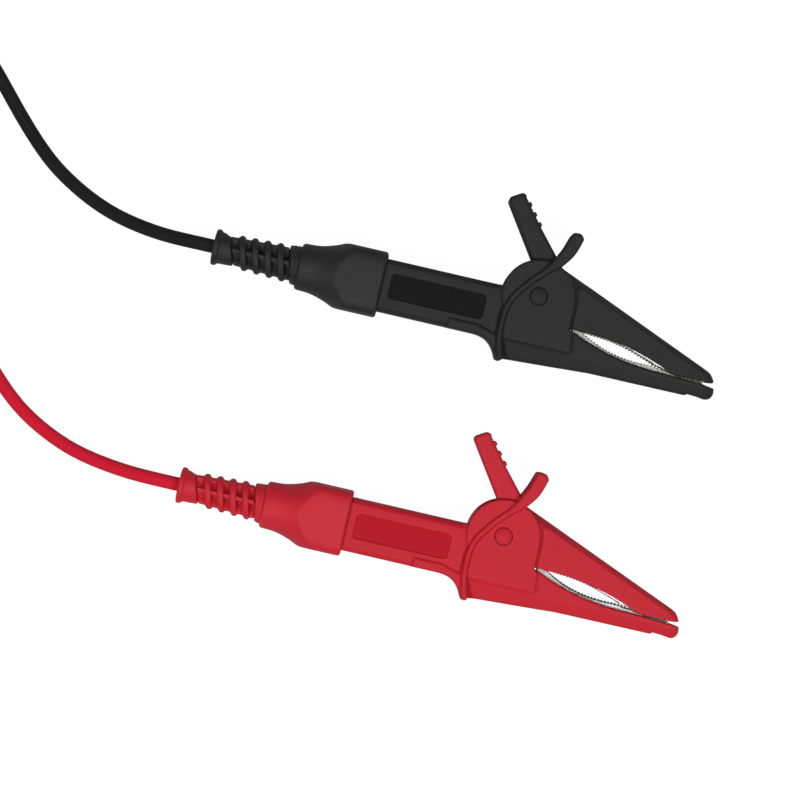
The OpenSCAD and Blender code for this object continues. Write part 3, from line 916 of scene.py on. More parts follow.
@dataclass(frozen=True)
class MouldedPlastic(Finish):
    """Injection-moulded polyamide with a fine spark-eroded texture: an even, silky grey haze
    where it faces the light, full colour where it turns away, and rubbed edges."""

    name: str = "moulded_polyamide"
    colour: str = "#0c0c0c"
    tint: str = "#121212"
    rubbed: str = "#2a2a2a"
    roughness: tuple[float, float] = (0.68, 0.82)
    # Grit of the eroded mould, drawn at twice its real 0.2 mm so that it shows
    grit: float = 0.4
    relief: float = 0.009
    # Width of the slow clouds in the pigment, which also thin out the rubbing
    clouds: float = 14.0
    ior: float = 1.5

    def build(self, lead: str) -> Material:
        """Makes the material for one lead.

        Args:
            lead: The lead's name, or nothing where both leads share it.

        Returns:
            The material.
        """
        made = self.start(lead)
        where = made.place.outputs["Object"]
        cloud = made.noise(where, per_mm(self.clouds), 3.0, 0.55)
        grain = made.noise(where, per_mm(self.grit), 2.0, 0.6)
        body = made.mixed(cloud, self.colour, self.tint)
        wear = add_node(made.tree, "ShaderNodeAttribute", attribute_name="wear")
        patch = made.spread(cloud, 0.05, 0.5, 0.35, 0.7)
        amount = add_node(
            made.tree, "ShaderNodeMath", {0: wear.outputs["Fac"], 1: patch}, operation="MULTIPLY"
        )
        colour = made.mixed(amount.outputs[0], body, self.rubbed)
        made.shader.inputs["IOR"].default_value = self.ior
        return made.dressed(colour, made.spread(grain, *self.roughness), grain, 0.5, self.relief)


@dataclass(frozen=True)
class SoftVinyl(MouldedPlastic):
    """Soft PVC moulded over the cord, from a blasted mould: a coarser grit than the hard
    plastic's, and a touch more sheen."""

    name: str = "soft_vinyl"
    roughness: tuple[float, float] = (0.63, 0.75)
    grit: float = 0.6


@dataclass(frozen=True)
class CordJacket(Finish):
    """Extruded silicone jacket: a dull surface, faint draw lines along it and a slow ripple."""

    name: str = "silicone_jacket"
    colour: str = "#060606"
    tint: str = "#0b0b0b"
    roughness: float = 0.82
    # How often the draw lines and the ripple repeat, per millimetre along and per turn around
    draw_lines: tuple[float, float, float] = (0.05, 26.0, 1.0)
    ripple: tuple[float, float, float] = (0.12, 1.5, 1.0)
    relief: float = 0.01
    ior: float = 1.41

    def build(self, lead: str) -> Material:
        """Makes the material for one lead. Its pattern follows the cord's own UV map.

        Args:
            lead: The lead's name.

        Returns:
            The material.
        """
        made = self.start(lead)
        run = add_node(made.tree, "ShaderNodeUVMap", uv_map="run").outputs["UV"]
        lines = made.noise(made.stretched(run, self.draw_lines), 1.0, 2.0)
        cloud = made.noise(made.stretched(run, self.ripple), 1.0, 2.0)
        colour = made.mixed(cloud, self.colour, self.tint)
        gloss = made.spread(lines, self.roughness - 0.05, self.roughness + 0.1)
        made.shader.inputs["IOR"].default_value = self.ior
        return made.dressed(colour, gloss, lines, 0.4, self.relief)


@dataclass(frozen=True)
class Metal(Finish):
    """A plated or bare metal with fine tool marks and handling marks."""

    name: str = "nickel_plated_steel"
    colour: str = "#cccccb"
    tarnish: str = "#a0a09f"
    roughness: tuple[float, float] = (0.4, 0.56)
    # Width of the rolling or turning marks, and how far they are stretched along each axis
    marks: float = 0.25
    stretch: tuple[float, float, float] = (0.08, 1.0, 1.0)
    relief: float = 0.004
    # Width of the handling marks
    blotches: float = 3.0

    def build(self) -> Material:
        """Makes the material, which both leads share.

        Returns:
            The material.
        """
        made = self.start()
        where = made.place.outputs["Object"]
        marks = made.noise(made.stretched(where, self.stretch), per_mm(self.marks), 4.0, 0.6)
        blotch = made.noise(where, per_mm(self.blotches), 4.0, 0.6)
        colour = made.mixed(made.spread(blotch, 0.0, 0.7, 0.45, 0.75), self.colour, self.tarnish)
        made.shader.inputs["Metallic"].default_value = 1.0
        return made.dressed(colour, made.spread(marks, *self.roughness), marks, 0.5, self.relief)


@dataclass(frozen=True)
class LeadFinishes:
    """The finishes of one lead."""

    shell: Material
    # The label recess's finish: polished, and painted darker than the shell as painted shade
    recess: Material
    boot: Material
    cord: Material


@dataclass(frozen=True)
class Metals:
    """The metals and the tie, which both leads share."""

    steel: Material
    # Dark grey steel for the teeth, painted as shade along the jaws' edges
    cut: Material
    spring: Material
    brass: Material
    copper: Material
    plug: Material
    tie: Material


# ---- Geometry trees ----


class Repeat:
    """A geometry tree for a shape that repeats, with named inputs, run on its own object."""

    def __init__(self, name: str, inputs: Mapping[str, str]) -> None:
        """Starts the tree.

        Args:
            name: The tree's name.
            inputs: The names of its inputs and their kinds.
        """
        self.tree = bpy.data.node_groups.new(name, "GeometryNodeTree")
        self.tree.interface.new_socket("Geometry", in_out="INPUT", socket_type="NodeSocketGeometry")
        for key, kind in inputs.items():
            self.tree.interface.new_socket(key, in_out="INPUT", socket_type=f"NodeSocket{kind}")
        self.tree.interface.new_socket("Material", in_out="INPUT", socket_type="NodeSocketMaterial")
        self.tree.interface.new_socket("Geometry", in_out="OUTPUT", socket_type="NodeSocketGeometry")
        self.given = self.tree.nodes.new("NodeGroupInput")

    def add(self, kind: str, wires: Mapping[int | str, object] | None = None, **settings: object) -> Node:
        """Adds a node to the tree."""
        return add_node(self.tree, kind, wires, **settings)

    def close(self, spots: NodeSocket, copied: NodeSocket, wires: Mapping[str, object]) -> "Repeat":
        """Ends the tree: sets copies on its spots, makes them real and gives them their material.

        Args:
            spots: Where the copies go.
            copied: What is copied.
            wires: How each copy is turned or scaled.

        Returns:
            The tree.
        """
        wires = {"Points": spots, "Instance": copied, **wires}
        placed = self.add("GeometryNodeInstanceOnPoints", wires)
        real = self.add("GeometryNodeRealizeInstances", {"Geometry": placed.outputs["Instances"]})
        wires = {"Geometry": real.outputs["Geometry"], "Material": self.given.outputs["Material"]}
        dressed = self.add("GeometryNodeSetMaterial", wires)
        self.add("NodeGroupOutput", {0: dressed.outputs["Geometry"]})
        return self

    def run(self, base: Mesh, sizes: Mapping[str, object]) -> Mesh:
        """Runs the tree.

        Args:
            base: The mesh that the tree starts from.
            sizes: A value for each named input.

        Returns:
            What it makes, as a plain mesh.
        """
        thing = bpy.data.objects.new(self.tree.name, base)
        bpy.context.scene.collection.objects.link(thing)
        modifier = thing.modifiers.new("repeat", "NODES")
        modifier.node_group = self.tree
        for item in self.tree.interface.items_tree:
            if item.in_out == "INPUT" and item.name in sizes:
                modifier[item.identifier] = sizes[item.name]
        graph = bpy.context.evaluated_depsgraph_get()
        graph.update()
        mesh = bpy.data.meshes.new_from_object(thing.evaluated_get(graph), depsgraph=graph)
        bpy.data.objects.remove(thing)
        return mesh


def line_mesh(points: Points) -> Mesh:
    """Makes a mesh that is one line through points, in metres."""
    mesh = bpy.data.meshes.new("guide_line")
    mesh.from_pydata(np.asarray(points).tolist(), [(i, i + 1) for i in range(len(points) - 1)], [])
    return mesh


def toothed_edge_tree() -> Repeat:
    """Makes the tree that cuts a row of pointed teeth along a line.

    Returns:
        The tree: inputs are how many teeth, a tooth's scale, and the axis whose cross product
        with the line's heading points out of the edge.
    """
    made = Repeat("toothed_edge", {"Teeth": "Int", "Tooth Scale": "Vector", "Turn Axis": "Vector"})
    given = made.given.outputs
    path = made.add("GeometryNodeMeshToCurve", {"Mesh": given["Geometry"]})
    spots = made.add("GeometryNodeResampleCurve", {"Curve": path.outputs["Curve"], "Count": given["Teeth"]})
    tangent = made.add("GeometryNodeInputTangent")
    outward = made.add(
        "ShaderNodeVectorMath",
        {0: given["Turn Axis"], 1: tangent.outputs["Tangent"]},
        operation="CROSS_PRODUCT",
    )
    wires = {"Vector": outward.outputs["Vector"]}
    turn = made.add("FunctionNodeAlignRotationToVector", wires, axis="X", pivot_axis="Z")
    tooth = made.add("GeometryNodeMeshCylinder", {"Vertices": 3, "Radius": 1.0, "Depth": 1.0})
    wires = {"Rotation": turn.outputs["Rotation"], "Scale": given["Tooth Scale"]}
    return made.close(spots.outputs["Curve"], tooth.outputs["Mesh"], wires)


def ring_of_bars_tree() -> Repeat:
    """Makes the tree that sets copies of its own mesh around the X axis through a point.

    Returns:
        The tree: inputs are how many copies and the point.
    """
    made = Repeat("ring_of_bars", {"Copies": "Int", "Centre": "Vector"})
    given = made.given.outputs
    spots = made.add("GeometryNodePoints", {"Count": given["Copies"], "Position": given["Centre"]})
    index = made.add("GeometryNodeInputIndex")
    share = made.add("ShaderNodeMath", {0: index.outputs["Index"], 1: given["Copies"]}, operation="DIVIDE")
    angle = made.add("ShaderNodeMath", {0: share.outputs[0], 1: 2 * math.pi}, operation="MULTIPLY")
    turn = made.add("ShaderNodeCombineXYZ", {"X": angle.outputs[0]})
    wires = {"Rotation": turn.outputs["Vector"]}
    return made.close(spots.outputs["Points"], given["Geometry"], wires)


def row_of_bars_tree() -> Repeat:
    """Makes the tree that sets copies of its own mesh in a straight row.

    Returns:
        The tree: inputs are how many copies, where the first stands and the step to the next.
    """
    made = Repeat("row_of_bars", {"Copies": "Int", "First": "Vector", "Step": "Vector"})
    given = made.given.outputs
    wires = {"Count": given["Copies"], "Start Location": given["First"], "Offset": given["Step"]}
    spots = made.add("GeometryNodeMeshLine", wires)
    return made.close(spots.outputs["Mesh"], given["Geometry"], {})


@dataclass(frozen=True)
class Trees:
    """The geometry trees that the pieces share."""

    teeth: Repeat
    around: Repeat
    row: Repeat


def shape_mesh(shape: Shape, centred: Callable[[Points], Points] = lambda p: p * MM) -> Mesh:
    """Makes a bare mesh of a shape, in metres, for a tree to repeat.

    Args:
        shape: The shape.
        centred: Turns its millimetres into metres.

    Returns:
        The mesh.
    """
    mesh = bpy.data.meshes.new("repeated_bar")
    mesh.from_pydata(centred(shape.points).tolist(), [], [list(f) for f in shape.faces])
    mesh.update()
    return mesh


def rounded_bar(length: float, width: float, height: float) -> Shape:
    """Makes a bar along X with a rounded section and rounded ends, about its middle.

    Args:
        length: Its length.
        width: Its width along Y.
        height: Its height along Z.

    Returns:
        The bar.
    """
    angle = turns(16)
    across = np.sign(np.cos(angle)) * np.abs(np.cos(angle)) ** 0.6 * width / 2
    up = np.sign(np.sin(angle)) * np.abs(np.sin(angle)) ** 0.6 * height / 2
    start = [(-0.5, 0.45), (-0.5 + 0.04, 0.8), (-0.5 + 0.1, 1)]
    ends = start + [(-at, share) for at, share in start[::-1]]
    rings = [np.column_stack([np.full(16, at * length), across * s, up * s]) for at, s in ends]
    return skin(np.array(rings))


# ---- The clip's plan ----


@dataclass(frozen=True)
class ClipPlan:
    """The sizes that the clip's pieces share, and the outlines they are cut to."""

    rib_z: float = 9.3
    cheek_z: float = 8.2
    cheek_in_z: float = 6.7
    barrel_z: float = 7.2
    flare_z: float = 7.9
    rocker_z: float = 6.4
    jaw_tip_z: float = 4.7
    liner_z: float = 3.4
    liner_t: float = 0.7
    trough_z: float = 3.5
    axis_y: float = -7.0
    barrel_top: float = 0.95
    barrel_low: float = -14.95
    barrel_rear: float = -56.3
    bore_z: float = 5.7
    bore_top: float = -0.55
    bore_low: float = -13.45
    cheek_r: float = 11.0
    hub_r: float = 9.0
    jaw_root: float = 12.0
    jaw_reach: float = 57.7
    pin_r: float = 1.5
    cap_r: float = 2.5
    facet_slope: float = 0.445
    cavity_floor: float = -17.0
    cavity_back: float = -9.4

    @property
    def liner_end(self) -> float:
        """Where the steel liners end, toward the tips."""
        return self.along(0.92)

    @property
    def liner_start(self) -> float:
        """Where the steel liners' teeth begin."""
        return self.along(0.083)

    @property
    def corner(self) -> tuple[float, float]:
        """The cheek's corner beside the gape."""
        return self.cheek_r + 0.1, -7.45

    def along(self, share: float) -> float:
        """Gives X at a share of the way from the jaws' root to the lower tip."""
        return self.jaw_root + (self.jaw_reach - self.jaw_root) * share

    def part_of(self, x: np.ndarray, a: float, b: float) -> np.ndarray:
        """Gives how far x lies from a to b, from 0 to 1."""
        return np.clip((np.asarray(x, float) - a) / (b - a), 0, 1)

    def low_edge(self, x: np.ndarray) -> np.ndarray:
        """Gives the lower jaw's plastic edge along the gape."""
        deep = 1 - (1 - self.part_of(x, self.along(0.02), self.along(0.66))) ** 2.2
        return -8 - 5.85 * deep - 0.6 * self.part_of(x, self.along(0.66), self.along(0.93))

    def high_edge(self, x: np.ndarray) -> np.ndarray:
        """Gives the upper jaw's plastic edge along the gape."""
        return -7.1 - 6.4 * self.part_of(x, self.along(0.066), self.along(0.71)) ** 2

    def bite(self, x: np.ndarray) -> np.ndarray:
        """Gives the line on which the steel jaws meet."""
        first = self.part_of(x, self.along(0.58), self.along(0.766))
        last = self.part_of(x, self.along(0.766), self.along(0.93))
        return -12.3 - 1.4 * first - 0.3 * last

    def low_steel(self, x: np.ndarray) -> np.ndarray:
        """Gives the tips of the lower liner's teeth."""
        open_part = -7.45 - 4.85 * (1 - (1 - self.part_of(x, self.along(0.083), self.along(0.525))) ** 2.4)
        return np.where(x > self.along(0.58), self.bite(x) - 0.06, open_part)

    def high_steel(self, x: np.ndarray) -> np.ndarray:
        """Gives the tips of the upper liner's teeth."""
        open_part = -7.35 - 4.9 * self.part_of(x, self.along(0.0875), self.along(0.58)) ** 2.2
        return np.where(x > self.along(0.58), self.bite(x) + 0.06, open_part)

    def back(self) -> tuple[Points, Points, float]:
        """Gives the upper jaw's back as its start, its heading and its length."""
        start, tip = np.array((5.1, 10.0)), np.array((self.jaw_reach - 3.4, -10.1))
        length = float(np.linalg.norm(tip - start))
        return start, (tip - start) / length, length

    def back_in(self, x: float, depth: float) -> float:
        """Gives the height at x of a line that lies depth inside the upper jaw's back."""
        start, v, _ = self.back()
        p = start - depth * np.array((-v[1], v[0]))
        return float(p[1] + (x - p[0]) * v[1] / v[0])

    def gape(self, start: float, end: float, edge: Callable[[np.ndarray], np.ndarray], count: int) -> Points:
        """Gives points along an edge of the gape, from start to end."""
        x = np.linspace(start, end, count)
        return np.column_stack([x, edge(x)])

    @property
    def lever(self) -> Points:
        """The thumb lever's outline, into the hub.

        Returns:
            The outline.
        """
        tip_a, tip_b, r = np.array((-11.2, 27.9)), np.array((-13.7, 26.4)), 1.25
        return np.vstack([
            [(0, 0), (5.1, 10), (-3.6, 20), (-9.9, 27.9)],
            arc(tip_a, r, 38, 118, 4),
            arc(tip_b, r, 122, 212, 4),
            [(-2.9, 8.4)],
        ])


# ---- Clip housing ----


# Radius at which a turned solid's ends close, on its axis
AXIS_R = 0.02


@dataclass(frozen=True)
class Housing:
    """The two bolted-together halves of the clip's body, with barrel, cheek, rib and lower jaw."""

    plan: ClipPlan
    # Posts in the barrel that take the pegs, and the one peg behind the heel
    post_spots: tuple[tuple[float, float], ...] = ((-18, -1.15), (-40, -1.15), (-40, -12.85))
    heel_peg: tuple[float, float] = (-8, -17.6)
    post_r: float = 1.8
    peg_r: float = 0.9
    label_depth: float = 0.5

    def pegs(self) -> list[Shape]:
        """Makes the pegs that line the halves up."""
        r = self.peg_r
        peg = turned([(-2, AXIS_R), (-2, r), (1, r), (1, AXIS_R)], 0.2, 24)
        return [peg.moved((x, y, 0)) for x, y in (*self.post_spots, self.heel_peg)]

    def rib(self) -> Points:
        """Gives the guard rib's outline, from the hook's tip to the heel.

        Returns:
            The outline.
        """
        line = [(7.3, 19.1), (5.9, 15), (3.4, 11), (0.2, 7.4), (-4.6, 2.1), (-8.3, -4), (-9, -11), (-8.4, -16),
                (-7.4, -20.2)]
        half = [1.95, 1.95, 1.6, 1, 0.95, 0.9, 0.9, 0.95, 1]
        wide = smooth_line([(h, 0) for h in half], 5)[:, 0]
        tip = [(5.35, 19.3), (5.8, 20.85), (8.3, 21.0), (9.45, 19.5), (9.1, 18.4)]
        return band(smooth_line(line, 5), wide, soften_corners(tip, 0.75, closed=False))

    def belly(self) -> Points:
        """Gives the lower jaw's outline with the belly under the cheek.

        Returns:
            The outline.
        """
        s, tip = self.plan, self.plan.jaw_reach
        return np.vstack([
            [(-9, -12), (-8, -14), (-8.2, -20.2), (-5.9, -20.3), (8, -19.5), (20, -18.75), (tip - 8.3, -18.7),
             (tip - 7.7, -18.15), (tip - 4.7, -18.3)],
            arc((tip - 2.3, -16.4), 2.25, -90, 12, 8),
            [(tip - 0.3, -14.9), (tip - 2.6, -14.6)],
            s.gape(s.along(0.93), s.along(0.02), s.low_edge, 24),
            [(s.corner[0], s.corner[1] - 1), (0, s.corner[1] - 1)],
        ])

    def belly_top(self, p: Points) -> np.ndarray:
        """Gives the lower jaw's height: it narrows to its tip and slants away below.

        Args:
            p: The points.

        Returns:
            A height for each.
        """
        s = self.plan
        taper = (s.barrel_z - s.jaw_tip_z) / (s.jaw_reach - s.jaw_root - 1)
        flat = s.barrel_z - taper * np.maximum(p[:, 0] - s.jaw_root - 1, 0)
        slant = flat - s.facet_slope * (-14.9 - p[:, 1])
        z = smooth_min(flat, slant, 0.35)
        return z - 1.5 * np.clip((p[:, 0] - 54.2) / 3.5, 0, 1) ** 2

    def cheek_top(self, p: Points) -> np.ndarray:
        """Gives the cheek's height: its low edge starts to slant as the belly does."""
        flat = np.full(len(p), self.plan.cheek_z)
        return smooth_min(flat, flat - 0.55 * (-13.75 - p[:, 1]), 0.3)

    def flare(self) -> Points:
        """Gives the outline of the swept rib from the barrel's underside to the heel."""
        line = [(-24.8, -11.9), (-20, -11.9), (-16, -11.9), (-13, -12.7), (-9, -14.2), (-8.5, -17), (-7.6, -20.6),
                (-8.5, -20.9), (-9.5, -19), (-11.2, -16.8), (-13.6, -15.4), (-17, -14.95), (-24.8, -14.95)]
        return smooth_line(line, 4)

    def swing(self) -> tuple[Points, ...]:
        """Gives the outlines of the space that the rocker swings in.

        Returns:
            The outlines.
        """
        s = self.plan
        return (
            ring(s.hub_r + 0.5),
            np.vstack([[(0, 0)], arc((0, 0), 14.5, -32, 147, 60)]),
            np.array([(s.cavity_back, 0), (s.cavity_back, s.bore_low), (-5.2, s.cavity_floor),
                      (s.corner[0] + 0.2, s.cavity_floor), (s.corner[0] + 0.2, 0)]),
        )

    def half(self) -> Shape:
        """Makes the half that faces up.

        Returns:
            The half, closed at the middle plane.
        """
        s = self.plan
        barrel = np.array([(s.barrel_rear, s.barrel_low), (-8, s.barrel_low), (-8, s.barrel_top),
                           (s.barrel_rear, s.barrel_top)])
        plate = np.array([(-9, s.barrel_top), (-9, -11), (-8.4, -14.7), (12.9, -14.7), (12.3, -8.25),
                          s.corner, (s.corner[0], 0), (0, 0)])
        label = soften_corners([(-44, -10.7), (-14.8, -10.7), (-14.8, -2.9), (-44, -2.9)], 1.5)
        posts = tuple(ring(self.post_r, c, 24) for c in self.post_spots)
        moulding = Moulding(
            raised=(
                Raised((barrel,), level(s.barrel_z), edge=0.35, chamfer=1.3),
                Raised((self.belly(),), self.belly_top, edge=0.7, foot=0.4),
                Raised((ring(s.cheek_r), plate), self.cheek_top, edge=0.55, flank=1.15, foot=0.8),
                Raised((self.flare(),), level(s.flare_z), edge=1.0, flank=2.2, foot=0.4),
                Raised((self.rib(),), level(s.rib_z), edge=0.98, flank=2.0, foot=0.6),
            ),
            sunk=(
                # The label's floor takes the second finish, painted darker as painted shade in the recess
                Sunk(label, self.label_depth, 0.3, finish=1),
                Sunk(ring(s.cap_r + 0.32, steps=64), 0.7, 0.14),
            ),
            hollows=(
                Hollow(self.swing(), s.cheek_in_z),
                Hollow(
                    (np.array([(s.corner[0], s.cavity_floor), (s.liner_end + 0.6, s.cavity_floor),
                               (s.liner_end + 0.6, 3), (s.corner[0], 3)]),),
                    s.trough_z,
                ),
                Hollow(
                    (np.array([(-54.8, s.bore_low), (s.cavity_back + 1, s.bore_low),
                               (s.cavity_back + 1, s.bore_top), (-54.8, s.bore_top)]),),
                    s.bore_z,
                    posts,
                ),
                Hollow((np.array([(-57, -9.05), (-54.7, -9.05), (-54.7, -4.95), (-57, -4.95)]),), 2.05),
            ),
            holes=(ring(s.pin_r + 0.05, steps=32),),
        )
        return moulding.build(whole=False)


# ---- Rocker ----


@dataclass(frozen=True)
class Rocker:
    """The upper jaw and the thumb lever, one moulding on the pivot."""

    plan: ClipPlan
    # Gap between the cheek and the jaw's full width, and how far the step up to it slopes
    groove: float = 0.7
    groove_slope: float = 0.25
    back_slope: float = 1.6
    # Grip ribs across the lever's back: how many, their size, and where along its back the
    # first stands and how far on the next, as shares of the back's length
    ribs: int = 3
    rib_length: float = 11.6
    rib_width: float = 1.5
    rib_first: float = 0.14
    rib_step: float = 0.33
    rib_sunk: tuple[float, float] = (-0.02, -0.08)

    def lever_back(self) -> tuple[Points, Points]:
        """Gives the two ends of the lever's ribbed back."""
        return np.array((-3.6, 20.0)), np.array((-9.9, 27.9))

    def rib(self) -> Shape:
        """Makes one grip rib, turned to stand on the lever's back."""
        start, end = self.lever_back()
        x, y = (end - start) / np.linalg.norm(end - start)
        bar = rounded_bar(self.rib_length, self.rib_width, self.rib_width)
        return bar.onto((0, 0, 1), (x, y, 0), (-y, x, 0))

    def rib_row(self) -> tuple[Points, Points]:
        """Gives where the first grip rib stands and the step to the next."""
        start, end = self.lever_back()
        first = start + (end - start) * self.rib_first + self.rib_sunk
        return np.append(first, 0), np.append((end - start) * self.rib_step, 0)

    def jaw(self) -> Points:
        """Gives the upper jaw's outline.

        Returns:
            The outline.
        """
        s, tip = self.plan, self.plan.jaw_reach - 0.8
        return np.vstack([
            [(0, 0), (5.1, 10), (tip - 2.6, -10.1), (tip - 1.4, -10.75), (tip - 0.7, -11.7), (tip, -13),
             (tip - 0.35, -13.45), (tip - 2.2, -13.6)],
            s.gape(s.along(0.74), s.along(0.03), s.high_edge, 24),
            [(5, -7.1)],
        ])

    def jaw_top(self, p: Points) -> np.ndarray:
        """Gives the jaw's height: full width clear of the cheek, narrowing to the tip, with a
        broad chamfer along its back.

        Args:
            p: The points.

        Returns:
            A height for each.
        """
        s = self.plan
        x, y = p[:, 0], p[:, 1]
        clear = np.where(y > 0, np.hypot(x, y), x) - s.cheek_r - self.groove
        below_hook = x * math.sin(math.radians(28)) - y * math.cos(math.radians(28))
        wide = ramp(clear / self.groove_slope) * ramp(below_hook / 1.6 + 0.1)
        z = s.rocker_z + (s.barrel_z - s.rocker_z) * wide
        taper = (s.barrel_z - s.jaw_tip_z) / (s.jaw_reach - s.jaw_root - 1)
        z = z - taper * np.maximum(x - s.jaw_root - 1, 0)
        start, v, _ = s.back()
        inward = (x - start[0]) * v[1] - (y - start[1]) * v[0]
        z = smooth_min(z, z - self.back_slope * (self.back_width(x) - inward), 0.45)
        return z - 1.3 * np.clip((x - 53.4) / 3.5, 0, 1) ** 2

    def back_width(self, x: np.ndarray) -> np.ndarray:
        """Gives the width of the chamfer along the jaw's back."""
        return 1.75 - 0.55 * self.plan.part_of(x, 5, self.plan.jaw_reach)

    def back_guide(self, inner: float, outer: float) -> Points:
        """Gives a narrow outline along the chamfer's inner edge, for the mesh to follow.

        Args:
            inner: How far one side lies inward of that edge.
            outer: How far the other does.

        Returns:
            The outline.
        """
        start, v, length = self.plan.back()
        way = start + np.outer(np.linspace(2, length - 1, 90), v)
        into = np.array((v[1], -v[0]))
        width = self.back_width(way[:, 0])[:, None]
        return np.vstack([way + into * (width + inner), (way + into * (width + outer))[::-1]])

    def shape(self) -> Shape:
        """Makes the moulding.

        Returns:
            The moulding, without its grip ribs.
        """
        s = self.plan
        lever = self.plan.lever
        pocket = lever + np.array((-0.3, -2.9))
        reach = s.liner_end + 0.4
        trough = np.array([(4, s.back_in(4, 1.8)), (reach, s.back_in(reach, 1.8)), (reach, -20), (4, -20)])
        heel = np.vstack([[(0, 0)], arc((0, 0), s.hub_r + 1, 195, 255, 12)])
        deep = pocket[np.hypot(*pocket.T) > 10.2]
        start = [(deep[-1] + (deep[0] - deep[-1]) * k / 4) for k in (1, 2, 3)]
        moulding = Moulding(
            raised=(
                Raised((ring(s.hub_r),), level(s.rocker_z), edge=0.3),
                Raised((self.jaw(),), self.jaw_top, edge=0.35, foot=0.3),
                Raised((lever,), level(s.rocker_z), edge=1.1, foot=0.5),
            ),
            hollows=(
                Hollow((ring(7.4), trough, pocket, heel), s.trough_z),
                Hollow((np.vstack([deep, start]),), 4.6),
            ),
            holes=(ring(s.pin_r + 0.06, steps=32),),
            guides=(
                *(
                    np.vstack([[(0, 0), (reach, -9), (reach, 0)], arc((0, 0), reach, 0, 50, 40)])
                    for reach in (s.cheek_r + self.groove, s.cheek_r + self.groove + self.groove_slope)
                ),
                self.back_guide(-0.28, 0.28),
                self.back_guide(-0.85, 0.0),
            ),
        )
        return moulding.build(whole=True)


# ---- Steel ----


@dataclass(frozen=True)
class Liners:
    """The two steel channels that line the jaws, with a row of teeth along each wall."""

    plan: ClipPlan
    tooth_h: float = 0.4
    pitch: float = 1.0
    interlock: float = 0.2
    # How much further the upper teeth stand out of the plastic along the gape
    stand_out: float = 0.25

    def edge_of(self, jaw: Jaw) -> Callable[[np.ndarray], np.ndarray]:
        """Gives the line of one jaw's tooth tips; where the jaws meet, the teeth interlock.

        Args:
            jaw: The jaw.

        Returns:
            A function that gives the line's height at each x.
        """
        s = self.plan
        upper = jaw is Jaw.UPPER
        tips, way, stand = (s.high_steel, -1, self.stand_out) if upper else (s.low_steel, 1, 0)
        closed = s.along(0.58)
        return lambda x: (
            tips(x)
            + way * self.interlock * ramp((x - closed - 1) / 3)
            + way * stand * ramp((x - s.liner_start) / 3) * ramp((closed - x) / 5)
        )

    def _channel(self, wall: Points, web: Points, holes: tuple[Points, ...] = ()) -> Shape:
        """Makes two walls and the web between them.

        Args:
            wall: The outline of each wall.
            web: The outline of the web.
            holes: Holes in the walls.

        Returns:
            The channel.
        """
        s = self.plan
        flat = Raised((wall,), level(s.liner_t), edge=0.1, foot=0.1)
        plate = Moulding(raised=(flat,), holes=holes, spacing=3, fine=0.8).build(whole=False)
        up = plate.moved((0, 0, s.liner_z - s.liner_t))
        across = Moulding(
            raised=(Raised((web,), level(s.liner_z - 0.05), edge=0.1, foot=0.1),),
            spacing=3,
            fine=1.5,
        ).build(whole=True)
        return joined(up, up.flipped(), across)

    def upper(self) -> Shape:
        """Makes the channel in the rocker.

        Returns:
            The channel, without its teeth.
        """
        s = self.plan
        a, b, d = 14.0, s.liner_end, 1.9
        edge = s.gape(b, s.liner_start, self.edge_of(Jaw.UPPER), 60) + (0, self.tooth_h)
        wall = np.vstack([
            [(0, 4.2), (a, s.back_in(a, d)), (b, s.back_in(b, d))],
            edge,
            [(12.5, -6.4), (0, -4.2)],
            arc((0, 0), 4.2, -90, -270, 20)[1:-1],
        ])
        inner = d + s.liner_t
        web = np.array([(a, s.back_in(a, d)), (a, s.back_in(a, inner)), (b, s.back_in(b, inner)),
                        (b, s.back_in(b, d))])
        return self._channel(wall, web, (ring(s.pin_r + 0.06, steps=32),))

    def lower(self) -> Shape:
        """Makes the channel in the housing, with the tail that runs back to the crimp.

        Returns:
            The channel, without its teeth.
        """
        s = self.plan
        low, a, b = s.cavity_floor, s.liner_start - 3.6, s.liner_end
        edge = s.gape(s.liner_start, b, self.edge_of(Jaw.LOWER), 60) - (0, self.tooth_h)
        wall = np.vstack([edge, [(b, low), (a, low), (a, -8.2), (a, -7.1), (15.1, -7.3)]])
        web = np.array([(a, low), (b, low), (b, low + s.liner_t), (a, low + s.liner_t)])
        tail = np.array([(a + 1, low), (a + 1, low + 0.7), (-3.2, low + 0.7), (-11.6, -9.6), (-36, -9.6),
                         (-36, -10.3), (-12, -10.3), (-3.5, low)])
        strip = Moulding(
            raised=(Raised((tail,), level(1.25), edge=0.1, foot=0.1),), spacing=3, fine=1.5
        ).build(whole=True)
        return joined(self._channel(wall, web), strip)

    def teeth(self, lead: Lead, tree: Repeat, material: Material, jaw: Jaw) -> Mesh:
        """Cuts one channel's teeth, as pointed wedges along the edge of each wall.

        Args:
            lead: The lead that they are for.
            tree: The tree that repeats a tooth.
            material: Their steel.
            jaw: The jaw that they line.

        Returns:
            The teeth of both walls, in place.
        """
        s, upper = self.plan, jaw is Jaw.UPPER
        count = int((s.liner_end - s.liner_start) / self.pitch)
        shift = 0 if upper else self.pitch / 2
        line = s.gape(s.liner_start + 0.5 - shift, s.liner_end - 0.5 - shift, self.edge_of(jaw), count)
        lift = self.tooth_h * 2 / 3 * (1 if upper else -1)
        z = s.liner_z - s.liner_t / 2
        sizes = {
            "Teeth": count,
            "Tooth Scale": (self.tooth_h / 1.5 * MM, self.pitch * 0.56 * MM, s.liner_t * MM),
            "Turn Axis": (0.0, 0.0, -1.0 if upper else 1.0),
            "Material": material,
        }
        walls = [
            np.column_stack([line[:, 0], line[:, 1] + lift, np.full(count, side * z)]) for side in (-1, 1)
        ]
        return merged_mesh([tree.run(line_mesh(lead.place(wall)), sizes) for wall in walls])


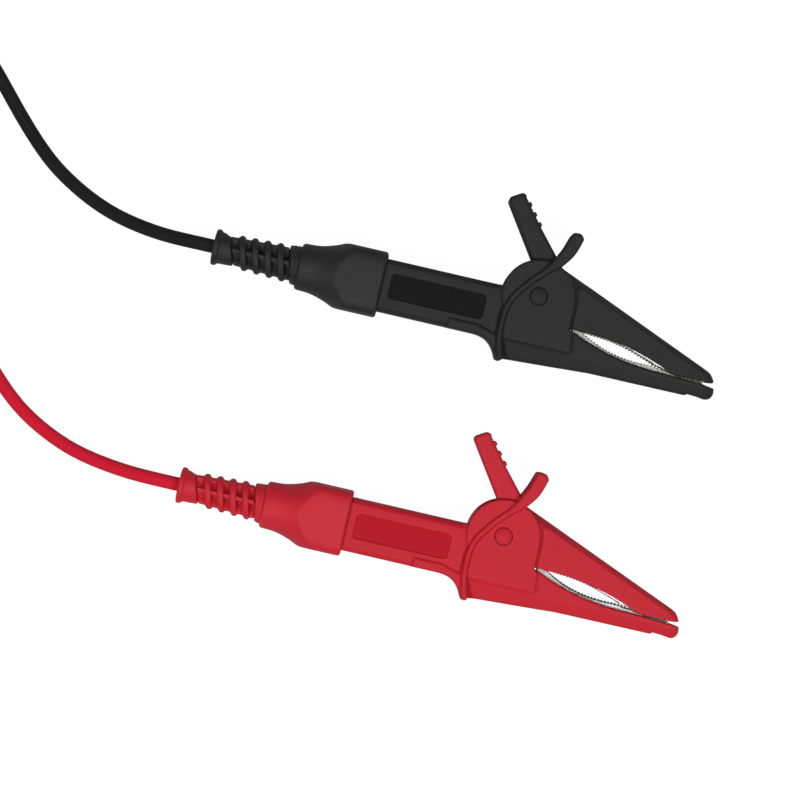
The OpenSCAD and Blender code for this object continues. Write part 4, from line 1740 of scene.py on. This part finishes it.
def merged_mesh(meshes: Sequence[Mesh]) -> Mesh:
    """Puts several meshes of one material into one.

    Args:
        meshes: The meshes.

    Returns:
        One mesh, without material.
    """
    points, faces, start = [], [], 0
    for mesh in meshes:
        points += [tuple(v.co) for v in mesh.vertices]
        faces += [[i + start for i in f.vertices] for f in mesh.polygons]
        start += len(mesh.vertices)
    made = bpy.data.meshes.new("merged")
    made.from_pydata(points, [], faces)
    return made


@dataclass(frozen=True)
class Mechanism:
    """Pivot caps, return spring, crimp and stranded conductor."""

    plan: ClipPlan
    # The spring: its coil's middle radius, half height, wire and turns, the angle at which its
    # last turn leaves for the lever, that leg's length, and where its other leg ends
    spring_r: float = 2.35
    spring_half: float = 1.95
    wire_r: float = 0.42
    spring_turns: int = 5
    lever_turn: float = 22.0
    lever_leg: float = 15.8
    floor_leg: tuple[float, float] = (-10.3, -12.5)

    def cap(self) -> Shape:
        """Makes the domed cap on the pin, facing up.

        Returns:
            The cap.
        """
        s = self.plan
        seat = s.cheek_z - 0.7
        radii = (2.2, 1.8, 1.4, 1.0, 0.6, 0.3, AXIS_R)
        dome = [(s.cheek_z + 0.7 - 0.62 * (r / s.cap_r) ** 2, r) for r in radii]
        side = [(seat, AXIS_R), (seat, s.cap_r), (s.cheek_z - 0.05, s.cap_r), (s.cheek_z + 0.12, 2.42)]
        return turned([*side, *dome])

    def spring(self) -> Shape:
        """Winds the return spring from one wire, with a leg to the housing's floor and one to the lever.

        Returns:
            The spring.
        """
        mid, z = self.spring_r, self.spring_half
        floor_end = np.array(self.floor_leg)
        leg = math.sqrt(floor_end @ floor_end - mid * mid)
        start = 270 + math.degrees(math.atan2(floor_end[1], floor_end[0]) - math.atan(mid / leg)) + 180
        end = self.lever_turn + 360 * self.spring_turns
        angle = np.radians(np.arange(start, end + 1, 12.0))
        share = np.linspace(0, 1, len(angle))
        coil = np.column_stack([mid * np.cos(angle), mid * np.sin(angle), z * (2 * share - 1)])
        at_floor = np.append(floor_end, -z)
        way = math.radians(self.lever_turn)
        lever_way = np.array((-math.sin(way), math.cos(way), 0))
        first = [at_floor + (coil[0] - at_floor) * t for t in np.linspace(0, 0.96, 8)]
        last = [coil[-1] + lever_way * d for d in np.linspace(0.5, self.lever_leg, 8)]
        return wire(np.vstack([first, coil, last]), self.wire_r, 12)

    def ferrule(self) -> Shape:
        """Makes the crimp ferrule, pressed with two rows of dents.

        Returns:
            The ferrule.
        """
        angle = turns(48)
        rings = []
        middle = [(h, 2.6) for h in np.linspace(0.8, 9.2, 29)]
        stations = [(0, 2.3), (0.25, 2.6), *middle, (9.75, 2.6), (10, 2.3)]
        for h, r in stations:
            dent = 0.55 * np.exp(-(((h - 3) / 0.9) ** 2)) + 0.55 * np.exp(-(((h - 7) / 0.9) ** 2))
            radius = r - dent * np.clip(np.cos(4 * angle), 0, 1)
            rings.append(np.column_stack([radius * np.cos(angle), radius * np.sin(angle), np.full(48, h)]))
        for h in (10, 0):
            rings.append(np.column_stack([1.25 * np.cos(angle), 1.25 * np.sin(angle), np.full(48, h)]))
        return skin(np.array(rings), closed=True).along_x(-36, self.plan.axis_y)

    def strand(self) -> Shape:
        """Lays one outer strand of the conductor, about the axis that the lead lies on."""
        t = np.linspace(0, 1, 40)
        angle = t * 2 * math.pi * 1.4
        path = np.column_stack([-44 + 19 * t, 0.8 * np.cos(angle), 0.8 * np.sin(angle)])
        return wire(path, 0.39, 8)

    def core(self) -> Shape:
        """Lays the straight strand in the conductor's middle."""
        y = self.plan.axis_y
        return wire(np.array([(-44, y, 0), (-34, y, 0), (-25.1, y, 0)], float), 0.4, 8)


# ---- Boot and bend relief ----


@dataclass(frozen=True)
class Boot:
    """The soft boot over the barrel's end, and the ribbed bend relief behind it."""

    plan: ClipPlan
    front: float = -46.3
    rear: float = -72.0
    end: float = -98.0
    half_w: float = 9.3
    half_h: float = 9.95
    corner: float = 3.0
    pitch: float = 3.87
    core: float = 2.6
    # Middle of the ring next to the neck, and how far the rings lean along the axis
    first_ring: float = -77.35
    rings: int = 3
    slant: float = 0.231
    # The slots between the rings, in degrees from straight up
    slot_from_top: float = 47.0
    bridge_half: float = 12.0

    def boot(self) -> Shape:
        """Makes the boot: round at its rear, growing into a block with round corners.

        Returns:
            The boot.
        """
        sides = 144
        angle = turns(sides)
        c, s = np.cos(angle), np.sin(angle)
        block = (np.abs(c / self.half_w) ** 5 + np.abs(s / self.half_h) ** 5) ** (-1 / 5)
        stations = np.array([
            (-72.0, 5.96), (-71.95, 6.5), (-71.7, 6.85), (-71.3, 7.08), (-70.5, 7.13), (-69.3, 7.17), (-68, 7.25),
            (-67, 7.38), (-66, 7.57), (-65, 7.8), (-64, 8.1), (-63, 8.42), (-62, 8.78), (-61, 9.2), (-60.3, 9.55),
            (-59.5, 10.0), (-58.8, 10.4), (-58, 10.9), (-57, 11.6), (-56, 12.5), (-55, 13.6), (-54, 15), (-52, 17),
        ])
        rings = []
        for x, r in stations:
            reach = smooth_min(block, np.full(sides, r), 0.5)
            rings.append(np.column_stack([np.full(sides, x), s * reach, c * reach]))
        for x, inset in ((-50, 0), (-48, 0), (-47.1, 0), (-46.7, 0.12), (-46.45, 0.35), (-46.3, 0.75)):
            reach = block - inset
            rings.append(np.column_stack([np.full(sides, x), s * reach, c * reach]))
        wall_y, wall_z = 8.0, self.plan.barrel_z + 0.05
        hole = np.minimum(wall_z / np.maximum(np.abs(c), 1e-6), wall_y / np.maximum(np.abs(s), 1e-6))
        for x in (self.front, -46.9, -56.35):
            grow = 0.25 if x == self.front else 0
            rings.append(np.column_stack([np.full(sides, x), s * (hole + grow), c * (hole + grow)]))
        for x in (-56.36, self.rear):
            rings.append(np.column_stack([np.full(sides, x), s * 5.96, c * 5.96]))
        return skin(np.array(rings), closed=True).moved((0, self.plan.axis_y, 0))

    def relief(self) -> Shape:
        """Makes the bend relief: a flared collar, then slanted rings on a thin core, tied by a
        wall at each side and a small bridge above and below, then the neck under the boot.

        Returns:
            The bend relief.
        """
        sides = 120
        angle = turns(sides)
        c, s = np.cos(angle), np.sin(angle)
        body = soften_corners(
            [(-98, 4.7), (-97.9, 5.3), (-97.4, 5.5), (-96.6, 5.4), (-96.1, 4.85), (-95.4, 4.7), (-92.55, 4.5),
             (-92.3, self.core)], 0.25, closed=False)
        neck = np.array([(-74.6, self.core), (-74.4, 5.35), (-74.1, 5.65), (-73.2, 5.75), (-72.9, 5.94),
                         (-56.5, 5.94)])
        line = np.vstack([body, neck])
        slots = np.arange(-93.6, -73.3, 0.12)
        x_all = np.concatenate([body[body[:, 0] < -93.7, 0], slots, [-73.2, -73.0, -72.9, -72.0, -56.5]])
        from_top = np.degrees(np.arctan2(np.abs(s), np.abs(c)))
        wall = ramp((from_top - self.slot_from_top) / 7)
        bridge = ramp((self.bridge_half - from_top) / 5)
        rings = []
        for x in x_all:
            slanted = x + self.slant * 5 * s * ramp((x + 95.5) / 2) * ramp((-72.9 - x) / 1.5)
            base = np.interp(slanted, line[:, 0], line[:, 1])
            turn = (slanted - self.first_ring) / self.pitch
            away = np.abs(turn - np.round(turn).clip(-self.rings, 0)) * self.pitch
            crest = 5.7 + 0.041 * (x + 75.5)
            ridge = self.core + (crest - 0.3 - self.core) * ramp((1.08 - away) / 0.16)
            ridge = ridge + 0.3 * np.clip(1 - (away / 1.0) ** 2, 0, 1)
            ridge = np.maximum(ridge, self.core + (crest - 0.75 - self.core) * bridge)
            waved = crest - 0.85 * ramp((away - 0.3) / 1.1)
            wound = ridge + (waved - ridge) * wall
            inside = ramp((slanted + 92.4) / 0.2) * ramp((-74.5 - slanted) / 0.2)
            radius = np.maximum(base, self.core + (wound - self.core) * inside)
            rings.append(np.column_stack([np.full(sides, x), s * radius, c * radius]))
        for x in (-56.5, self.end):
            rings.append(np.column_stack([np.full(sides, x), s * 2.05, c * 2.05]))
        return skin(np.array(rings), closed=True).moved((0, self.plan.axis_y, 0))


# ---- Free cord ----


@dataclass(frozen=True)
class FreeCord:
    """The lead's cord from the bend relief to its coil and on to the plug."""

    floor: float = -9.3
    radius: float = 2.08
    length: float = 0.97
    coil_at: tuple[float, float] = (-206.0, 22.0)
    layers: tuple[float, float] = (2.6, 6.6)
    radii: tuple[float, float, float] = (26.0, 22.0, 18.0)
    # Where each turn steps to the next radius, in degrees about the coil
    step_from: float = 340.0
    # How often the free stretch is eased, so that it bends without kinks
    smoothing: int = 16
    # How much wider than its frame the free stretch curves
    bow: float = 0.4
    step_to: float = 400.0

    def route(self) -> Points:
        """Gives the stretch that lies in a free curve, about the pivot.

        Returns:
            The centreline up to the coil.
        """
        high = -self.floor
        points = np.array([
            (-98, -7, high), (-104, -7, high), (-112, -7, 8), (-121, -6, 5.6), (-134, -3, 2.9), (-148, 4.4, 2.1),
            (-156, 10.8, 2.1), (-164, 18.8, 2.1), (-172, 27.8, 2.1), (-178, 34, 2.1), (-184, 39.2, 2.2),
            (-190, 43.1, 2.4), (-196, 46.2, 2.6), (-201, 47.8, 2.6)])
        points[:, 1] -= self.bow * ramp((-112 - points[:, 0]) / 40) * ramp((points[:, 0] + 196) / 26)
        rest = smooth_line(points[1:], 6)
        return np.vstack([np.linspace(points[0], points[1], 5)[:-1], rest])

    def coil(self) -> Points:
        """Winds three turns inwards, climbs, and winds three turns out on top of them.

        Returns:
            The centreline, its heights over the floor.
        """
        first, last = 84.0, 90.0 + 360 * 6
        angle = np.arange(first, last + 0.1, 6.0)
        a, b, c = self.radii
        low, high = self.layers

        def stepped(turn: int) -> np.ndarray:
            """Gives how far the step at the end of a turn has gone."""
            return ramp((angle - self.step_from - 360 * turn) / (self.step_to - self.step_from))

        radius = a + (b - a) * stepped(0) + (c - b) * stepped(1)
        radius = radius + (b - c) * stepped(3) + (a - b) * stepped(4)
        climb = stepped(2)
        radius = radius - 1.2 * np.sin(math.pi * climb)
        z = low + (high - low) * climb
        (x, y), t = self.coil_at, np.radians(angle)
        return np.column_stack([x + radius * np.cos(t), y + radius * np.sin(t), z])

    def path(self) -> Points:
        """Gives the whole centreline about the pivot.

        Returns:
            The centreline.
        """
        coil = self.coil()
        entry = np.array((-226.0, 48.0, 6.5))
        tail = [coil[-1] + (entry - coil[-1]) * t for t in np.linspace(0.2, 1, 5)]
        route = self.route()
        whole = np.vstack([route, coil, tail])
        free = slice(4, len(route) + 4)
        for _ in range(self.smoothing):
            eased = (whole[:-2] + 2 * whole[1:-1] + whole[2:]) / 4
            whole[free] = eased[free.start - 1 : free.stop - 1]
        return whole + np.array((0, 0, self.floor))

    def make(self, lead: Lead, finish: Material) -> tuple[Object, Points]:
        """Makes the cord with a UV map that runs along it.

        Args:
            lead: The lead that it belongs to.
            finish: Its jacket.

        Returns:
            The cord, and its centreline in metres.
        """
        sides = 16
        path = self.path()
        shape = wire(path, self.radius, sides)
        piece = lead.make("cord", shape, [finish], f"{lead.name}_cord", ("cord", "cord_coil", "cord_tail"))
        run = np.concatenate([[0], np.cumsum(np.linalg.norm(np.diff(path, axis=0), axis=1))])
        uv = piece.data.uv_layers.new(name="run")
        for face in piece.data.polygons:
            ids = [piece.data.loops[i].vertex_index for i in face.loop_indices]
            wraps = {v % sides for v in ids} >= {0, sides - 1} and len(ids) == 4
            for i, v in zip(face.loop_indices, ids):
                around = v % sides + (sides if wraps and v % sides == 0 else 0)
                uv.data[i].uv = (run[v // sides], around / sides)
        return piece, lead.place(path)


@dataclass(frozen=True)
class CoilTie:
    """The strap around the coil, with a row of pressed cross ribs on top."""

    cord: FreeCord
    angle: float = -60.0
    width: float = 6.0
    ribs: int = 8
    # Where the first rib stands from the coil's middle, its height, and the step to the next
    rib_at: float = 18.0
    rib_z: float = 9.17
    rib_step: float = 1.1

    def axes(self) -> tuple[Points, Points]:
        """Gives the radial and the tangent directions at the tie."""
        t = math.radians(self.angle)
        return np.array((math.cos(t), math.sin(t), 0)), np.array((-math.sin(t), math.cos(t), 0))

    def shape(self) -> Shape:
        """Makes the strap.

        Returns:
            The strap.
        """
        out, along = self.axes()
        centre = np.array((*self.cord.coil_at, self.cord.floor))
        inner = soften_corners([(15.6, 0.55), (28.15, 0.55), (28.15, 8.65), (15.6, 8.65)], 1.8)
        outer = soften_corners([(15.05, 0.02), (28.7, 0.02), (28.7, 9.2), (15.05, 9.2)], 2.2)
        strips = []
        for line, sides in ((inner, (-0.46, 0.46)), (outer, (0.5, -0.5))):
            for side in sides:
                edge = centre + along * side * self.width
                strips.append([edge + out * r + (0, 0, z) for r, z in line])
        return skin(np.array(strips).transpose(1, 0, 2), closed=True)

    def rib(self) -> Shape:
        """Makes one of the strap's cross ribs, turned to lie across it."""
        out, along = self.axes()
        return rounded_bar(4.6, 0.45, 0.3).onto(along, out, (0, 0, 1))

    def rib_row(self) -> tuple[Points, Points]:
        """Gives where the first rib lies and the step to the next."""
        out, _ = self.axes()
        centre = np.array((*self.cord.coil_at, self.cord.floor))
        return centre + out * self.rib_at + (0, 0, self.rib_z), out * self.rib_step


# ---- Plug ----


@dataclass(frozen=True)
class Plug:
    """The shrouded plug on the cord's far end, along -X from where the cord enters it."""

    entry: tuple[float, float, float] = (-226.0, 48.0, -2.8)

    def laid(self, shape: Shape) -> Shape:
        """Lays a shape turned about Z along the plug's axis."""
        return shape.onto((0, 0, 1), (0, 1, 0), (-1, 0, 0)).moved(self.entry)

    def relief(self) -> Shape:
        """Makes the short ringed relief at the cord's entry.

        Returns:
            The relief.
        """
        line = [(0, 2.05), (0, 3.1), (0.3, 3.9)]
        for k in range(4):
            r, at = 4.1 + 0.25 * k, 0.4 + 3.1 * k
            line += [(at + 0.05, r), (at + 1.4, r), (at + 1.75, r - 0.9), (at + 2.75, r - 0.85)]
        line = line[:-2] + [(11.2, 3.9), (16, 3.9), (16, 2.05)]
        return self.laid(turned(line, 0.3, 48, hollow=True))

    def grip(self) -> Shape:
        """Makes the plug's grip, waisted where the fingers hold it."""
        line = [(12.1, 3.95), (12.1, 5.6), (13.2, 6.35), (14.5, 6.5), (18.4, 6.5), (20.4, 5.75), (28, 5.5),
                (37.4, 5.75), (39.2, 6.5), (45.3, 6.5), (46, 5.95), (46, 5.55), (36.05, 5.55), (36.05, 2.05),
                (16.1, 2.05), (16.1, 3.95)]
        return self.laid(turned(line, 0.5, 96, hollow=True))

    def grip_bar(self) -> Shape:
        """Makes one of the ribs along the grip, about the plug's own axis."""
        return rounded_bar(15.5, 0.9, 0.9).moved((-28.8, 0, 5.85))

    def shroud(self) -> Shape:
        """Makes the insulating sleeve around the pin, with a rounded mouth and two fine lines."""
        line = [(36.1, 3.05), (36.1, 5.5), (47.2, 5.5), (47.4, 5.35), (47.6, 5.5), (49.2, 5.5), (49.4, 5.35),
                (49.6, 5.5), (65.9, 5.5), (66.5, 5.1), (66.5, 4.35), (66.2, 4.1), (46, 4.1), (46, 3.05)]
        return self.laid(turned(line, 0.12, 72, hollow=True))

    def pin(self) -> Shape:
        """Makes the pin's core with its collar and rounded nose."""
        line = [(35.05, 0.02), (35.05, 2), (37.05, 2), (37.05, 3), (45.95, 3), (46, 2), (47.4, 1.95), (47.5, 1.5),
                (63, 1.5), (63.1, 1.95), (63.9, 2), (64.7, 1.6), (65, 0.9), (65, 0.02)]
        return self.laid(turned(line, 0.15, 48))

    def leaf(self) -> Shape:
        """Makes one bowed spring leaf of the pin, about the plug's own axis.

        Returns:
            The leaf.
        """
        rings = []
        for t in np.linspace(0, 1, 15):
            x = -47.5 - 15.5 * t
            r = 1.62 + 0.36 * math.sin(math.pi * t)
            half = math.radians(19 if 0.08 < t < 0.92 else 22.4)
            rows = [(r, -half), (r + 0.02, 0), (r, half), (r - 0.14, half), (r - 0.12, 0), (r - 0.14, -half)]
            rings.append([(x, q * math.sin(a), q * math.cos(a)) for q, a in rows])
        return skin(np.array(rings))


# ---- One whole lead ----


# How much wider than its frame each cord's free stretch curves
BOWS = {Colour.BLACK: 0.4, Colour.RED: 2.0}


@dataclass(frozen=True)
class LeadBuilder:
    """Builds and dresses every piece of one lead."""

    lead: Lead
    finishes: LeadFinishes
    metals: Metals
    trees: Trees
    plan: ClipPlan

    def cord(self) -> None:
        lead, name = self.lead, self.lead.name
        cord = FreeCord(bow=BOWS[lead.colour])
        piece, path = cord.make(lead, self.finishes.cord)
        on_cord = self.tie(cord) + self.plug()
        lead.keep("plug_lead_in", self.finishes.cord)
        lead.keep("lead_in", self.finishes.cord)
        on_cord.append(frame["nodes"][lead.node("plug_lead_in")])
        LOG.info("%s cord: %.3f m", name, float(np.sum(np.linalg.norm(np.diff(path, axis=0), axis=1))))

    def around(self, bar: Shape, copies: int, centre: Spot, material: Material) -> Mesh:
        """Sets copies of a bar around a line along X through centre, and gives their mesh."""
        sizes = {"Copies": copies, "Centre": tuple(self.lead.place(centre)), "Material": material}
        return self.trees.around.run(shape_mesh(bar), sizes)

    def tie(self, cord: FreeCord) -> list[Object]:
        """Makes the strap around the coil.

        Args:
            cord: The cord that it holds.

        Returns:
            The strap and its ribs.
        """
        lead, tie = self.lead, CoilTie(cord)
        strap = lead.make("coil_tie", tie.shape(), [self.metals.tie], "tie", ("coil_tie",))
        first, step = tie.rib_row()
        sizes = {
            "Copies": tie.ribs,
            "First": tuple(lead.place(first)),
            "Step": tuple(step * MM),
            "Material": self.metals.tie,
        }
        mesh = self.trees.row.run(shape_mesh(tie.rib()), sizes)
        return [strap, lead.make("tie_ribs", mesh, [self.metals.tie], "tie", rides="coil_tie")]

    def plug(self) -> list[Object]:
        """Makes the plug's pieces.

        Returns:
            The pieces.
        """
        lead, plug, shell, boot = self.lead, Plug(), self.finishes.shell, self.finishes.boot
        ribs = self.around(plug.grip_bar(), 12, plug.entry, shell)
        leaves = self.around(plug.leaf(), 8, plug.entry, self.metals.plug)
        slot = f"{lead.name}_shell"
        return [
            lead.make("plug_relief", plug.relief(), [boot], f"{lead.name}_boot", ("plug_relief",)),
            lead.make("plug_body", plug.grip(), [shell], slot, ("plug_body",)),
            lead.make("plug_grip_ribs", ribs, [shell], slot, rides="plug_body"),
            lead.make("plug_shroud", plug.shroud(), [shell], slot, ("plug_shroud",)),
            lead.make("plug_pin", plug.pin(), [self.metals.plug], "plug_metal", ("plug_pin",)),
            lead.make("plug_leaves", leaves, [self.metals.plug], "plug_metal", ("plug_spring_cage",)),
        ]

    def housing(self, half: Shape, pegs: Sequence[Shape]) -> None:
        """Makes both halves of the housing.

        Args:
            half: The half that faces up.
            pegs: The pegs that line the two up, which stand on that half.
        """
        shell = [self.finishes.shell, self.finishes.recess]
        slot, near = f"{self.lead.name}_shell", joined(half, *pegs)
        self.lead.make("housing_near", near, shell, slot, ("housing_near",), sharp=34)
        self.lead.make("housing_far", half.flipped(), shell, slot, ("housing_far",), sharp=34)

    def rocker(self, rocker: Rocker, moulding: Shape) -> None:
        """Makes the rocker and the grip ribs on its lever.

        Args:
            rocker: Its sizes.
            moulding: Its shape, without the ribs.
        """
        slot, shell = f"{self.lead.name}_shell", self.finishes.shell
        self.lead.make("jaw_lever", moulding, [shell], slot, ("jaw_lever",), sharp=34)
        first, step = rocker.rib_row()
        sizes = {
            "Copies": rocker.ribs,
            "First": tuple(self.lead.place(first)),
            "Step": tuple(step * MM),
            "Material": shell,
        }
        mesh = self.trees.row.run(shape_mesh(rocker.rib()), sizes)
        self.lead.make("lever_ribs", mesh, [shell], slot, rides="jaw_lever")

    def steel(self) -> None:
        """Makes the liners and their teeth, the pivot, the spring and the crimped conductor."""
        lead, metals = self.lead, self.metals
        liners, mechanism = Liners(self.plan), Mechanism(self.plan)
        steel = [metals.steel]
        for jaw, shape in ((Jaw.UPPER, liners.upper()), (Jaw.LOWER, liners.lower())):
            node = f"{jaw.value}_jaw_liner"
            lead.make(node, shape, steel, "nickel_steel", (node,), sharp=30)
            # The teeth take the dark grey steel that is painted shade along the jaws' edges
            teeth = liners.teeth(lead, self.trees.teeth, metals.cut, jaw)
            name = f"{jaw.value}_jaw_teeth"
            lead.make(name, teeth, [metals.cut], "nickel_steel", rides=node, sharp=20)
        lead.keep("pivot_pin", metals.steel)
        cap, slot = mechanism.cap(), f"{lead.name}_shell"
        lead.make("pivot_cap_near", cap, [self.finishes.shell], slot, ("pivot_cap_near",), sharp=30)
        lead.make("pivot_cap_far", cap.flipped(), [self.finishes.shell], slot, ("pivot_cap_far",), sharp=30)
        spring = mechanism.spring()
        lead.make("torsion_spring", spring, [metals.spring], "spring_steel", ("torsion_spring",), winds=1.9)
        lead.make("crimp_ferrule", mechanism.ferrule(), [metals.brass], "tinned_brass", ("crimp_ferrule",))
        strands = self.around(mechanism.strand(), 6, (0, self.plan.axis_y, 0), metals.copper)
        core = shape_mesh(mechanism.core(), lead.place)
        lead.make("conductor", merged_mesh([strands, core]), [metals.copper], "copper", ("conductor",))

    def boots(self) -> None:
        """Makes the boot and the bend relief."""
        boot, finish, slot = Boot(self.plan), [self.finishes.boot], f"{self.lead.name}_boot"
        self.lead.make("boot", boot.boot(), finish, slot, ("boot",))
        self.lead.make("bend_relief", boot.relief(), finish, slot, ("bend_relief",))


# ---- Studio ----


def seen_by_camera(tree: NodeTree) -> NodeSocket:
    """Gives 1 where the camera sees a surface, straight or through glass, and 0 elsewhere."""
    ray = add_node(tree, "ShaderNodeLightPath").outputs
    wires = {0: ray["Is Camera Ray"], 1: ray["Is Transmission Ray"]}
    return add_node(tree, "ShaderNodeMath", wires, operation="MAXIMUM").outputs[0]


@dataclass(frozen=True)
class Studio:
    """Camera, lamps, backdrop and floor."""

    middle: tuple[float, float] = (-16.06, -7.31)
    turn: float = 13.02
    across: float = 240.0
    # Four softboxes stand around the clips; straight above them it stays dim
    first_lamp: float = 58.0
    reach: float = 0.5
    height: float = 0.95
    powers: tuple[float, float, float, float] = (0.6, 1.9, 4.7, 4.9)
    lamp_size: float = 0.32
    ambient: float = 0.09
    distance: float = 900.0
    sensor: float = 36.0
    # Height of the clips' middle plane over the floor
    clip_height: float = 9.3
    floor_half: float = 3.0
    floor_colour: str = "#d8d8d8"
    # How much of the floor is plain white to the camera, and how bright; the rest shows shadow
    floor_white: float = 0.87
    floor_glow: float = 1.1

    def camera(self) -> None:
        """Sets the camera straight above the clips."""
        data = bpy.data.cameras.new("camera")
        data.sensor_width = self.sensor
        data.lens = data.sensor_width * self.distance / self.across
        data.clip_end = 10
        camera = bpy.data.objects.new("camera", data)
        x, y = self.middle
        camera.location = (x * MM, y * MM, (self.distance + self.clip_height) * MM)
        camera.rotation_euler = Euler((0, 0, math.radians(self.turn)))
        bpy.context.scene.collection.objects.link(camera)
        bpy.context.scene.camera = camera

    def lamp(self, name: str, at: Spot, size: float, power: float) -> None:
        """Hangs a square lamp that faces the clips.

        Args:
            name: Its name.
            at: Its place in metres.
            size: Its side in metres.
            power: Its power in watts.
        """
        data = bpy.data.lights.new(name, "AREA")
        data.size = size
        data.energy = power
        lamp = bpy.data.objects.new(name, data)
        lamp.location = at
        toward = Vector((self.middle[0] * MM, self.middle[1] * MM, 0)) - lamp.location
        lamp.rotation_euler = toward.to_track_quat("-Z", "Y").to_euler()
        bpy.context.scene.collection.objects.link(lamp)

    def world(self) -> None:
        """Lights everything softly, with a white backdrop where the camera sees it."""
        world = bpy.data.worlds.new("backdrop")
        world.use_nodes = True
        tree = world.node_tree
        tree.nodes.clear()
        seen = seen_by_camera(tree)
        soft = add_node(tree, "ShaderNodeBackground", {"Color": (1, 1, 1, 1), "Strength": self.ambient})
        white = add_node(tree, "ShaderNodeBackground", {"Color": (1, 1, 1, 1), "Strength": 1.0})
        mixed = add_node(
            tree,
            "ShaderNodeMixShader",
            {"Fac": seen, 1: soft.outputs["Background"], 2: white.outputs["Background"]},
        )
        add_node(tree, "ShaderNodeOutputWorld", {"Surface": mixed.outputs["Shader"]})
        bpy.context.scene.world = world

    def floor(self) -> None:
        """Lays a pale floor that keeps the clips' shadow and reads as white."""
        a = self.floor_half
        mesh = bpy.data.meshes.new("floor")
        mesh.from_pydata([(-a, -a, 0), (a, -a, 0), (a, a, 0), (-a, a, 0)], [], [(0, 1, 2, 3)])
        material = bpy.data.materials.new("pale_table")
        material.use_nodes = True
        tree = material.node_tree
        tree.nodes.clear()
        seen = seen_by_camera(tree)
        pale = add_node(tree, "ShaderNodeBsdfDiffuse", {"Color": linear(self.floor_colour)})
        white = add_node(tree, "ShaderNodeEmission", {"Color": (1, 1, 1, 1), "Strength": self.floor_glow})
        wires = {"Fac": self.floor_white, 1: pale.outputs["BSDF"], 2: white.outputs[0]}
        shaded = add_node(tree, "ShaderNodeMixShader", wires)
        mixed = add_node(
            tree,
            "ShaderNodeMixShader",
            {"Fac": seen, 1: pale.outputs["BSDF"], 2: shaded.outputs["Shader"]},
        )
        add_node(tree, "ShaderNodeOutputMaterial", {"Surface": mixed.outputs["Shader"]})
        mesh.materials.append(material)
        table = bpy.data.objects.new("floor", mesh)
        bpy.context.scene.collection.objects.link(table)

    def set_up(self) -> None:
        """Sets up everything around the clips."""
        self.camera()
        self.world()
        self.floor()
        for k, power in enumerate(self.powers):
            way = math.radians(self.first_lamp + 90 * k)
            at = (self.reach * math.cos(way), self.reach * math.sin(way), self.height)
            self.lamp(f"softbox_{k}", at, self.lamp_size, power)
        bpy.context.scene.view_settings.view_transform = "Standard"


# ---- Main ----


def lead_finishes(colour: Colour) -> LeadFinishes:
    """Makes the finishes of one lead.

    Args:
        colour: The lead's colour.

    Returns:
        Its finishes.
    """
    name = colour.value
    # Each lead's label colours are painted darker than its shell's: painted shade in the label's recess
    if colour is Colour.BLACK:
        shell, boot = MouldedPlastic(), SoftVinyl(colour="#0e0e0e", tint="#141414", rubbed="#282828")
        label, jacket = ("#080808", "#0b0b0b", "#141414"), CordJacket()
    else:
        shell = MouldedPlastic(colour="#b9001e", tint="#c0041f", rubbed="#d23a4c")
        boot = SoftVinyl(colour="#bc001f", tint="#c60624", rubbed="#d8404f")
        label, jacket = ("#b0001c", "#b4001e", "#c8283c"), CordJacket(colour="#c60026", tint="#cf022a")
    # The label's floor is polished in the mould, so it shines where the rest is dull; its colours are painted
    # darker than the shell's, as painted shade in the recess
    recess = MouldedPlastic("polished_label_recess_painted_shade", *label, roughness=(0.18, 0.24), relief=0.002)
    return LeadFinishes(
        shell=shell.build(name), recess=recess.build(name), boot=boot.build(name), cord=jacket.build(name)
    )


def main() -> None:
    """Builds the studio and both leads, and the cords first."""
    logging.basicConfig(level=logging.INFO, format="%(message)s")
    Studio().set_up()
    plan = ClipPlan()
    metals = Metals(
        steel=Metal().build(),
        # The teeth's steel is painted dark grey: painted shade along the jaws' edges, where the teeth sit in
        # shadow
        cut=Metal("steel_teeth_painted_shade", "#5a5852", "#33312d", (0.4, 0.55), 0.15).build(),
        spring=Metal("music_wire", "#8f8f92", "#5f5d5c", (0.3, 0.45), 0.2).build(),
        brass=Metal("tinned_brass", "#cfc7a8", "#9a8c62", (0.3, 0.5), 0.3).build(),
        copper=Metal("bare_copper", "#c77f52", "#8a4f33", (0.25, 0.45), 0.15).build(),
        plug=Metal("nickel_plated_brass", "#cdc9bd", "#9b9588", (0.2, 0.34), 0.2).build(),
        tie=MouldedPlastic("nylon_strap", "#2a2a2b", "#333334", "#565656").build(""),
    )
    trees = Trees(teeth=toothed_edge_tree(), around=ring_of_bars_tree(), row=row_of_bars_tree())
    builders = [LeadBuilder(Lead(c), lead_finishes(c), metals, trees, plan) for c in Colour]
    for builder in builders:
        builder.cord()
    housing, rocker = Housing(plan), Rocker(plan)
    half, pegs, moulding = housing.half(), housing.pegs(), rocker.shape()
    for builder in builders:
        builder.housing(half, pegs)
        builder.rocker(rocker, moulding)
        builder.steel()
        builder.boots()


if __name__ == "__main__":
    main()
